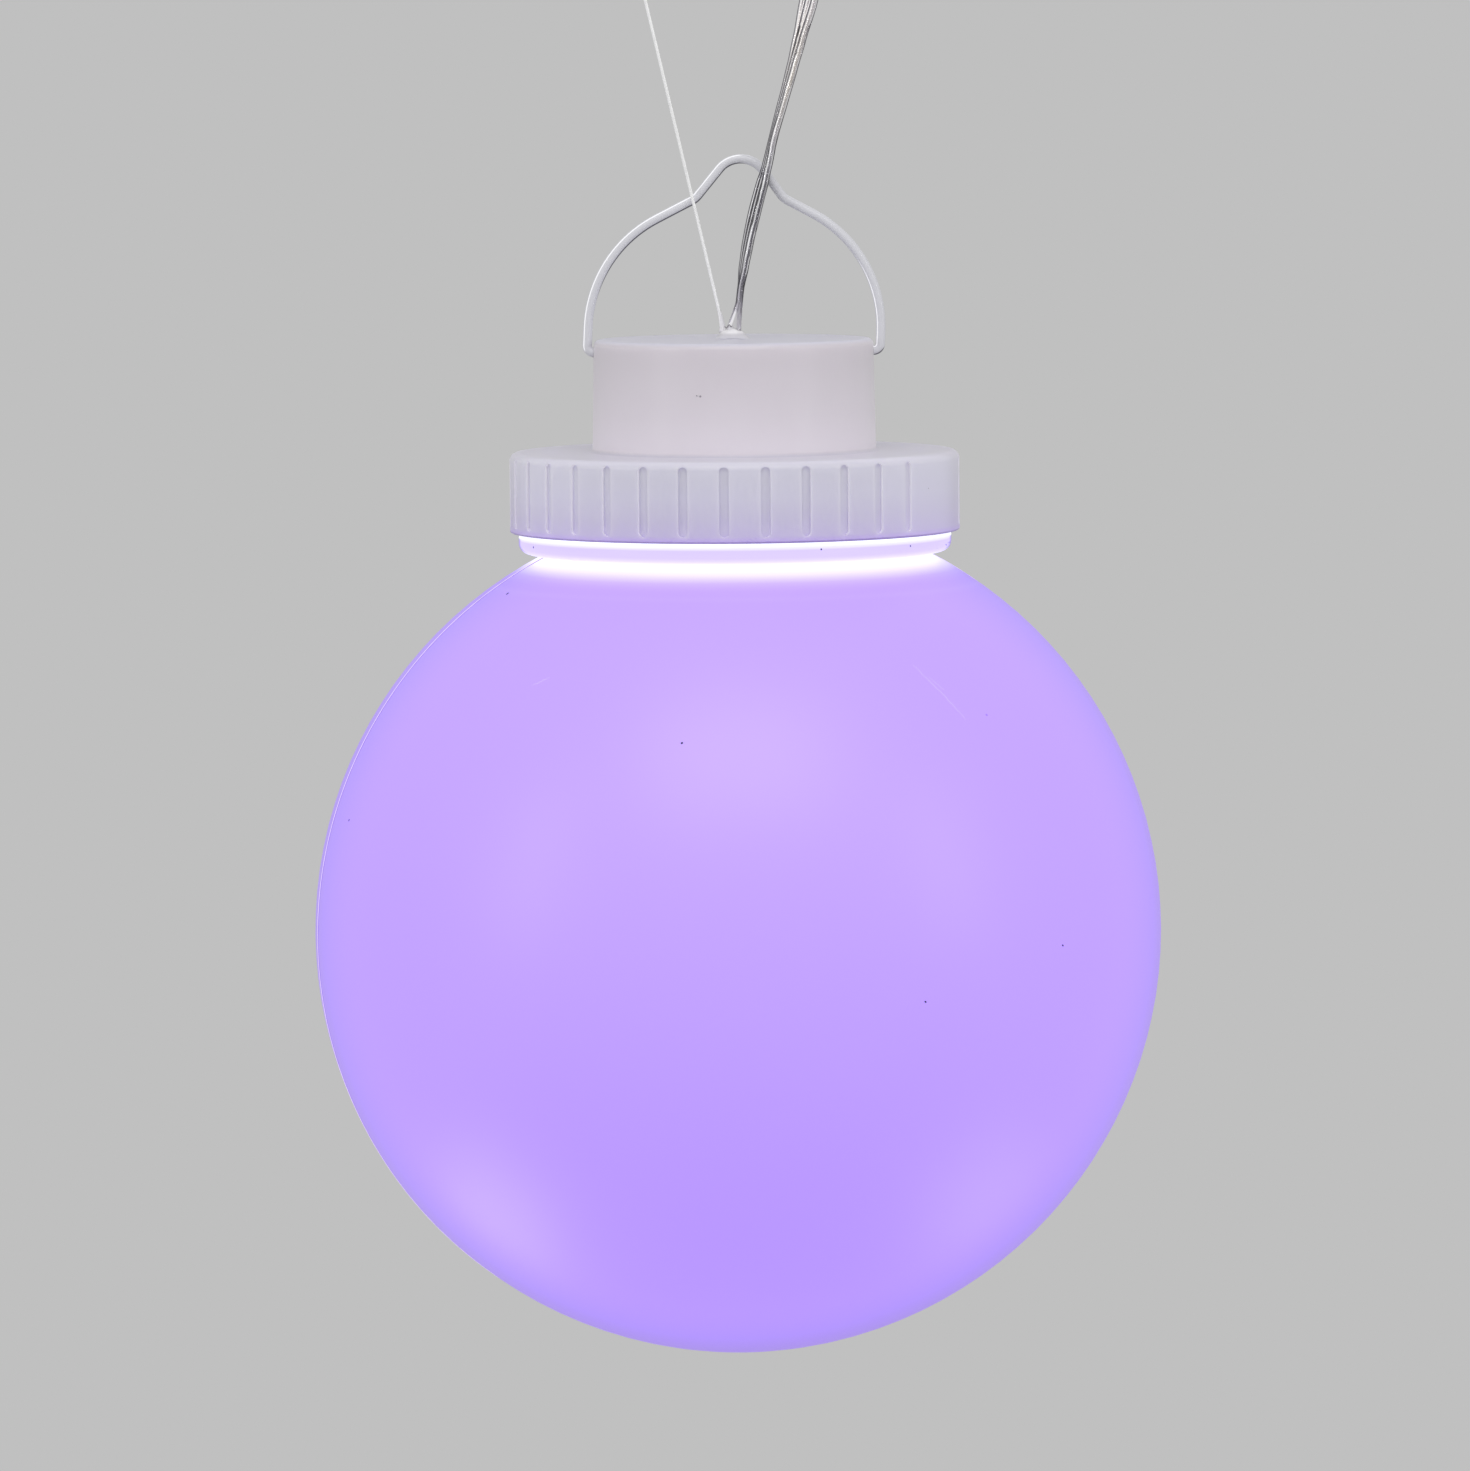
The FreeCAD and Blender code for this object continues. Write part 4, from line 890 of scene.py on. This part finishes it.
class LAMP_OT_stage(bpy.types.Operator):
    """Sets up the camera, the soft lights, the backdrop and the floor"""
    bl_idname = "ball_light.stage"
    bl_label = "Stage and camera"

    def execute(self, context):
        stage = context.scene.ball_light_stage
        for old in ("Cube", "Camera", "Light"):
            if old in bpy.data.objects:
                bpy.data.objects.remove(bpy.data.objects[old])
        context.scene.view_settings.view_transform = "Standard"

        data = bpy.data.cameras.new("Camera")
        data.sensor_width, data.lens = CAMERA_SENSOR, CAMERA_LENS
        data.clip_start, data.clip_end = 0.05, 50.0
        camera = link("Camera", data)
        camera.matrix_world = (
            Matrix.Translation(CAMERA_PLACE)
            @ Matrix.Rotation(math.radians(90 - CAMERA_DIP), 4, "X")
            @ Matrix.Rotation(math.radians(CAMERA_ROLL), 4, "Z")
        )
        context.scene.camera = camera

        for name, place, size, setting, share in LIGHTS:
            self.light(name, place, size, getattr(stage, setting) * share)
        self.backdrop(context, stage)
        self.floor(stage)
        return {"FINISHED"}

    def light(self, name, place, size, power):
        data = bpy.data.lights.new(name, "AREA")
        data.shape = "RECTANGLE"
        data.size, data.size_y = size
        data.energy = power
        lamp = link(name, data)
        turn = (LIGHT_AIM - Vector(place)).to_track_quat("-Z", "Y").to_matrix().to_4x4()
        lamp.matrix_world = Matrix.Translation(place) @ turn
        lamp.visible_camera = False

    def backdrop(self, context, stage):
        """A world that looks grey behind the lamp and in its gloss, and lights it evenly."""
        world = bpy.data.worlds.new("Studio")
        context.scene.world = world
        world.use_nodes = True
        tree = world.node_tree
        tree.nodes.clear()
        grey = {"Color": coloured(tree, stage.backdrop), "Strength": 1.0}
        white = {"Color": (1.0, 1.0, 1.0, 1), "Strength": stage.room_light}
        seen = add_node(tree, "ShaderNodeBackground", grey)
        lit = add_node(tree, "ShaderNodeBackground", white)
        rays = add_node(tree, "ShaderNodeLightPath").outputs
        share = reckon(tree, "MAXIMUM", rays["Is Camera Ray"], rays["Is Glossy Ray"])
        share = reckon(tree, "MAXIMUM", share, rays["Is Transmission Ray"])
        add_node(tree, "ShaderNodeOutputWorld", {"Surface": mix_shaders(tree, share, lit, seen)})

    def floor(self, stage):
        """A wide disc of paper below the ball, which fades into the backdrop."""
        middle = Vector((0, 0, cad_box[0].z - stage.floor_drop))
        data = bpy.data.meshes.new("Floor")
        data.from_pydata(circle(middle, FLOOR_REACH, FLOOR_SIDES), [], [range(FLOOR_SIDES)])
        made, tree, shader, paper = skinned(
            "Studio floor", {"Roughness": 0.9, "Specular IOR Level": 0.1}, stage.backdrop, 0.02, 4.0
        )
        set_inputs(tree, shader, {"Base Color": paper["Color"]})
        away = reckon_vector(tree, "LENGTH", reckon_vector(tree, "MULTIPLY", object_place(tree), LEVEL))
        fade = eased(tree, away, *(FLOOR_REACH * share for share in FLOOR_FADE))
        clear = add_node(tree, "ShaderNodeBsdfTransparent")
        surface = {"Surface": mix_shaders(tree, fade, shader, clear)}
        set_inputs(tree, tree.nodes["Material Output"], surface)
        data.materials.append(made)
        floor = link("Floor", data)


class LAMP_OT_cable(bpy.types.Operator):
    """Makes the flat clear cable with its three stranded cores"""
    bl_idname = "ball_light.cable"
    bl_label = "Cable"

    def execute(self, context):
        sizes = context.scene.ball_light_sizes
        points = even_points(smooth_line("Cable line", CABLE_ROUTE, 24), 0.5 * MM)
        frames = []
        for point, (across, over) in zip(points, carried_frames(points, RIGHT)):
            turn = math.radians(between(CABLE_TURN, point.z / MM))
            frames.append((swung(turn, across, over), swung(turn, over, -across)))
        rings = [
            [point + across * thick + over * wide for thick, wide in self.section(sizes, point.z / MM)]
            for point, (across, over) in zip(points, frames)
        ]
        jacket = mesh_piece("cable_jacket", "cap", (loft(rings), jacket_material()))
        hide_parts("power_cable")

        # The cores' colour and light by height hold painted light and shade
        metal = drawn_metal("Core strands", CORE_PAINTED_TONE, 0.22, 0.4, 300.0, CORE_HIGHLIGHT)
        pitch = (sizes.cable_width - sizes.cable_thickness) / 2
        for number, place in enumerate((-pitch, 0.0, pitch)):
            middle = [point + over * place for point, (across, over) in zip(points, frames)]
            strands = twisted_strands(
                middle, frames[0][0], 2 * sizes.core_radius, sizes.core_strands, CORE_PITCH, 6
            )
            core = mesh_piece(f"cable_core_{number + 1}", "cap", (strands, metal))

        return {"FINISHED"}

    def section(self, sizes, height):
        """The outline of three round lobes, with a clear fillet of glue at the outlet."""
        lobe = sizes.cable_thickness / 2
        pitch = sizes.cable_width / 2 - lobe
        web = lobe * WEB_SHARE
        lean = math.asin(WEB_SHARE)
        upper = []
        for place, first, last, steps in (
            (pitch, 0.0, math.pi - lean, 9), (0.0, lean, math.pi - lean, 7), (-pitch, lean, math.pi, 9),
        ):
            for step in range(steps):
                angle = first + (last - first) * step / (steps - 1)
                upper.append((lobe * math.sin(angle), place + lobe * math.cos(angle)))
        lower = [(-thick, wide) for thick, wide in reversed(upper[1:-1])]
        flare = max(0.0, min(1.0, (GLUE_TOP - height) / GLUE_TAPER)) if height > GLUE_FOOT else 0.0
        reach = GLUE_REACH * MM * flare ** 1.3
        return upper + [(thick - reach * min(1.0, -thick / web), wide) for thick, wide in lower]


class LAMP_OT_line(bpy.types.Operator):
    """Makes the thin twisted line and the loop on its upper end"""
    bl_idname = "ball_light.line"
    bl_label = "Line"

    def execute(self, context):
        sizes = context.scene.ball_light_sizes
        # A faint white glow in the line's finish is painted light, which keeps it white under the ball's
        # violet light
        finish = moulded(
            "White line", tone(243, 243, 243), 0.6,
            {"Sheen Weight": 0.15, "Emission Color": (1, 1, 1, 1), "Emission Strength": 0.07},
            cloud=0.12, cloud_scale=900.0, grain=4000.0, specks=(600.0, 0.05, 0.02),
            speck_colour=tone(170, 170, 176),
        )
        points = even_points(smooth_line("Line line", LINE_ROUTE, 48), 0.25 * MM)
        strands = twisted_strands(points, RIGHT, sizes.line_width, 5, LINE_PITCH, 7)
        line = mesh_piece("hanging_line", "cap", (strands, finish))
        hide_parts("suspension_line")

        loop = self.end_loop(points[-1], (points[-1] - points[-2]).normalized(), sizes.line_width, finish)
        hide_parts("line_loop")
        dress(finish, "line_knot")
        return {"FINISHED"}

    def end_loop(self, start, along, width, finish):
        """A loop of the same line, with its end wound round its foot as a knot."""
        side = along.cross(BACK).normalized()
        front = side.cross(along)
        wound = []
        for step in range(KNOT_POINTS):
            share = step / (KNOT_POINTS - 1)
            turn = Vector((KNOT_START + KNOT_LENGTH * share, 0, 0))
            wound.append(turn + swung(math.tau * KNOT_TURNS * share, UP, BACK) * KNOT_RADIUS)
        route = [
            start + along * reach * MM + side * aside * MM + front * ahead * MM
            for reach, aside, ahead in (*LOOP_ROUTE, *wound, LOOP_TAIL)
        ]
        points = even_points(smooth_line("Loop line", route, 12), 0.2 * MM)
        strands = twisted_strands(points, front, width, 3, LOOP_PITCH, 6)
        return mesh_piece("line_end_loop", "cap", (strands, finish))


class LAMP_OT_ball(bpy.types.Operator):
    """Finishes the lit ball, with its mould seam and small marks"""
    bl_idname = "ball_light.ball"
    bl_label = "Ball"

    def execute(self, context):
        dress(ball_material(context.scene.ball_light_colours), "globe")
        self.seam(context.scene.ball_light_sizes)
        self.marks()
        return {"FINISHED"}

    def seam(self, sizes):
        """The raised line where the two halves of the mould met, all the way round the ball, pale with
        painted light and with a strip of painted shade beside it.
        """
        out = swung(SEAM_LEAD, -RIGHT, -BACK)
        across = swung(SEAM_LEAD, -BACK, RIGHT) * sizes.seam_width / 2
        foot = math.asin(SEAM_FOOT / ball_radius)

        def strip(profile):
            rings = []
            for step in range(SEAM_STEPS + 1):
                angle = foot + (math.tau - 2 * foot) * step / SEAM_STEPS
                way = swung(angle, UP, out)
                rings.append([
                    ball_center + way * (ball_radius + sizes.seam_height * rise) + across * wide
                    for wide, rise in profile
                ])
            return loft(rings)

        # The ridge glows pale with painted light, and a dark strip beside it is painted shade
        pale = lit_plastic(
            "Seam painted light", tone(226, 204, 254), 0.5, 240.0,
            {"Base Color": (*tone(80, 74, 96), 1), "Roughness": 0.3, "IOR": 1.45},
        )
        shade = lit_plastic(
            "Seam painted shade", tone(124, 92, 205), 0.4, 200.0,
            {"Base Color": (*tone(96, 88, 118), 1), "Roughness": 0.5},
        )
        seam = mesh_piece(
            "ball_seam", "globe", (strip(RIDGE_PROFILE), pale), (strip(SHADE_PROFILE), shade)
        )

    def marks(self):
        """Small inclusions and scratches, where the real ball has them, and a few more all round."""
        dark = moulded(
            "Ball inclusions", tone(74, 60, 98), 0.4, cloud=0.4, cloud_scale=2000.0, relief=0.005 * MM
        )
        pale = lit_plastic(
            "Ball scratch", tone(205, 182, 252), 0.2, 500.0,
            {"Base Color": (*tone(60, 56, 70), 1), "Roughness": 0.4},
        )
        draw = random.Random(7)
        spots = list(BALL_SPECKS)
        for number in range(BALL_MORE):
            turn, height = math.radians(draw.uniform(15, 165)), draw.uniform(-0.8, 0.75)
            place = swung(turn) * math.sqrt(1 - height * height) + UP * height
            spots.append((place, draw.uniform(0.18, 0.36)))
        specks = []
        for place, size in spots:
            way = Vector(place).normalized()
            specks.append(speck(ball_center + way * (ball_radius - 0.02 * MM), way, size * MM, draw))
        specks.extend(wall_speck(place, size, draw) for place, size in BEAD_SPECKS)
        scratches = [self.hair(first, last, size * MM, draw) for first, last, size in SCRATCHES]
        made = mesh_piece("ball_marks", "globe", (joined(specks), dark), (joined(scratches), pale))

    def hair(self, first, last, size, draw):
        """A fine raised line over the ball from one point to another."""
        start, end = Vector(first).normalized(), Vector(last).normalized()
        across = start.cross(end).normalized()
        rings = []
        for step in range(SCRATCH_STEPS + 1):
            share = step / SCRATCH_STEPS
            out = start.slerp(end, share)
            thin = math.sin(math.pi * (0.04 + 0.92 * share)) ** 0.5
            middle = ball_center + out * ball_radius + across * draw.uniform(-0.12, 0.12) * MM
            rings.append([
                middle + across * size * thin * wide + out * rise * MM for wide, rise in SCRATCH_PROFILE
            ])
        return loft(rings)


class LAMP_OT_cap(bpy.types.Operator):
    """Finishes the cap and the crown that the cords come out of"""
    bl_idname = "ball_light.cap"
    bl_label = "Cap"

    def execute(self, context):
        dress(cap_material(), "screw_cap")
        # Its colour by height holds painted shade on the slope and painted light on top
        crown = moulded(
            "Outlet crown", MOUND_TONE_AND_SHADE, 0.4, {"Coat Weight": 0.2},
            cloud=0.08, cloud_scale=300.0, grain=1200.0, relief=0.04 * MM,
        )
        self.outlet(crown)
        self.marks()
        return {"FINISHED"}

    def marks(self):
        """Small inclusions in the cap's wall, where the real cap has them, and a few more all round."""
        draw = random.Random(11)
        spots = list(CAP_SPECKS)
        for number in range(CAP_MORE):
            turn, height = math.radians(draw.uniform(20, 160)), draw.uniform(-24.0, -3.0)
            spots.append((swung(turn) * TOWER_RADIUS + UP * height, draw.uniform(0.16, 0.26)))
        specks = joined([wall_speck(place, size, draw) for place, size in spots])
        dark = moulded(
            "Cap inclusions", tone(156, 150, 160), 0.4, cloud=0.3, cloud_scale=2000.0, relief=0.005 * MM
        )
        made = mesh_piece("cap_marks", "cap", (specks, dark))

    def outlet(self, finish):
        """The soft plug in the tower's top, under an uneven mound of glue round the cords."""
        draw = random.Random(21)
        wobble = [draw.uniform(-1, 1) for side in range(8)]
        rings = [
            circle(Vector((0, 0, height)) * MM, radius * MM, MOUND_SIDES) for radius, height in OUTLET_PROFILE
        ]
        rings.extend(
            [self.mound_point(angle, share, wobble) for angle in angles(MOUND_SIDES)]
            for share in MOUND_RINGS
        )
        mound = mesh_piece("outlet_plug", "cap", (loft(rings), finish))
        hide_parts("cable_grommet")

        def uneven(ring, shift):
            """A ring in millimetres with its points moved a little, each by its own amount."""
            return [(point + shift * wobble[side % len(wobble)]) * MM for side, point in enumerate(ring)]

        cone = []
        for radius, height in CONE_PROFILE:
            lean = max(0.0, height - 3.0) * 0.2
            middle = Vector((-2.5 - lean, -lean * 0.25, height))
            cone.append(uneven(circle(middle, radius, 16), UP * 0.05))
        lump = [
            uneven(circle(Vector((-0.75, -2.5, height)), radius, 12, over=BACK * 0.8), RIGHT * 0.06)
            for radius, height in LUMP_PROFILE
        ]
        tip = mesh_piece("line_gland", "cap", (joined([loft(cone), loft(lump)]), finish))

        # A thin dark strand of painted shadow along a crease in the glue
        points = even_points([Vector(place) * MM for place in GLUE_SHADOW_PATH], 0.12 * MM)
        glue_shadow = round_strand(points, carried_frames(points, BACK), 0.0, lambda index: 0.0, 0.1 * MM, 6)
        dark = moulded("Painted shadow in the glue", tone(120, 116, 122), 0.3, cloud=0.2, cloud_scale=2000.0)
        glue_shadow_piece = mesh_piece("glue_fold", "cap", (glue_shadow, dark))

    def mound_point(self, angle, share, wobble):
        """A point of the mound at this angle and this share of its reach."""
        ragged = sum(
            value * math.sin((number + 2) * angle + number) / (number + 1.5)
            for number, value in enumerate(wobble)
        )
        reach = share * between(MOUND_REACH, math.degrees(angle)) * (1 + 0.04 * ragged)
        x, y = reach * math.cos(angle), reach * math.sin(angle)
        crest = between(MOUND_CREST, x) * (1 + 0.06 * math.sin(3.1 * x + 2.0 * y))
        # Fuller at the front, with a steep edge
        steep = 1.6 + 3.2 * max(0.0, -math.sin(angle)) ** 2
        fall = math.cos(math.pi / 2 * min(1.0, share ** steep)) ** 0.8
        return Vector((x, y, crest * fall - 0.04)) * MM


class LAMP_OT_bail(bpy.types.Operator):
    """Finishes the wire bail"""
    bl_idname = "ball_light.bail"
    bl_label = "Bail"

    def execute(self, context):
        dress(bail_material(context.scene.ball_light_colours), "bail_wire")
        return {"FINISHED"}


class LAMP_OT_plug(bpy.types.Operator):
    """Finishes the plug, with the ribs of its strain relief"""
    bl_idname = "ball_light.plug"
    bl_label = "Plug"

    def execute(self, context):
        body = moulded("Plug plastic", tone(214, 214, 217), 0.45, cloud_scale=150.0, grain=1500.0)
        dress(body, "plug_body", "plug_ring")
        dress(drawn_metal("Pin brass", tone(214, 180, 110), 0.2, 0.35), "plug_pins")
        middle = (plug_low + plug_high) / 2
        foot = Vector((middle.x, middle.y, plug_low.z))
        ribs = joined([
            loft([
                circle(foot + UP * (height + rise) * MM, (radius + across) * MM, RIB_SIDES)
                for across, rise in RIB_PROFILE
            ])
            for height, radius in PLUG_RIBS
        ])
        ribs = mesh_piece("plug_relief_ribs", "cap", (ribs, body))
        return {"FINISHED"}


class LAMP_OT_inside(bpy.types.Operator):
    """Finishes the board, the lens, the plates, the seals and the screws inside the cap"""
    bl_idname = "ball_light.inside"
    bl_label = "Inside"

    def execute(self, context):
        dress(moulded("Inner plastic", tone(228, 227, 224), 0.5),
              "board_tray", "board_terminal", "strain_plate")
        dress(moulded("Seal rubber", tone(196, 196, 200), 0.6, cloud=0.1, grain=2500.0),
              "neck_seal", "lens_seal", "plug_seal")
        dress(drawn_metal("Screw steel", tone(196, 196, 200), 0.2, 0.4),
              "tray_screws", "board_screws", "lens_screws", "strain_screws")
        dress(drawn_metal("Crimp metal", tone(186, 184, 180), 0.3, 0.5), "cable_crimp")
        dress(drawn_metal("Capacitor can", tone(176, 178, 190), 0.25, 0.4), "buffer_capacitor")
        dress(moulded("Lead jacket", tone(206, 60, 52), 0.4, cloud=0.1, grain=3000.0), "inner_leads")
        dress(moulded("Board laminate", tone(236, 238, 236), 0.35, cloud=0.1, cloud_scale=500.0,
                      specks=(420.0, 0.18, 0.25), speck_colour=tone(200, 190, 150)),
              "led_board")
        dress(moulded("Chip black", tone(38, 38, 40), 0.45, cloud=0.2, grain=5000.0),
              "driver_chip", "board_resistors")
        dress(lit_plastic("Light chip", tone(226, 206, 255), 0.2, 900.0, {"Roughness": 0.3}), "led_chips")
        dress(clear_plastic("Lens cover", tone(244, 245, 247), 0.12, 1.49), "lens_cover")
        return {"FINISHED"}


class LAMP_PT_panel(bpy.types.Panel):
    """Lists the lamp's pieces, sizes and colours"""
    bl_label = "Ball Light"
    bl_idname = "LAMP_PT_panel"
    bl_space_type = "VIEW_3D"
    bl_region_type = "UI"
    bl_category = "Ball Light"

    def draw(self, context):
        for operator in OPERATORS:
            self.layout.operator(operator.bl_idname)
        for title, name, kind in GROUPS:
            box = self.layout.box()
            box.label(text=title)
            held = getattr(context.scene, name)
            for key in held.bl_rna.properties.keys():
                if key not in ("rna_type", "name"):
                    box.prop(held, key)


OPERATORS = (
    LAMP_OT_stage, LAMP_OT_cable, LAMP_OT_line, LAMP_OT_ball,
    LAMP_OT_cap, LAMP_OT_bail, LAMP_OT_plug, LAMP_OT_inside,
)
GROUPS = (
    ("Sizes", "ball_light_sizes", BallLightSizes),
    ("Colours", "ball_light_colours", BallLightColours),
    ("Stage", "ball_light_stage", BallLightStage),
)
CLASSES = (*(kind for title, name, kind in GROUPS), *OPERATORS, LAMP_PT_panel)


def register():
    for kind in CLASSES:
        bpy.utils.register_class(kind)
    for title, name, kind in GROUPS:
        setattr(bpy.types.Scene, name, PointerProperty(type=kind))


def unregister():
    for title, name, kind in GROUPS:
        delattr(bpy.types.Scene, name)
    for kind in reversed(CLASSES):
        bpy.utils.unregister_class(kind)


def main():
    register()
    for build in (build_moulded_skin, build_fine_specks, build_drawn_streaks):
        made = build()
        groups[made.name] = made
    bpy.ops.ball_light.stage()
    bpy.ops.ball_light.cable()
    bpy.ops.ball_light.line()
    bpy.ops.ball_light.ball()
    bpy.ops.ball_light.cap()
    bpy.ops.ball_light.bail()
    bpy.ops.ball_light.plug()
    bpy.ops.ball_light.inside()


if __name__ == "__main__":
    main()
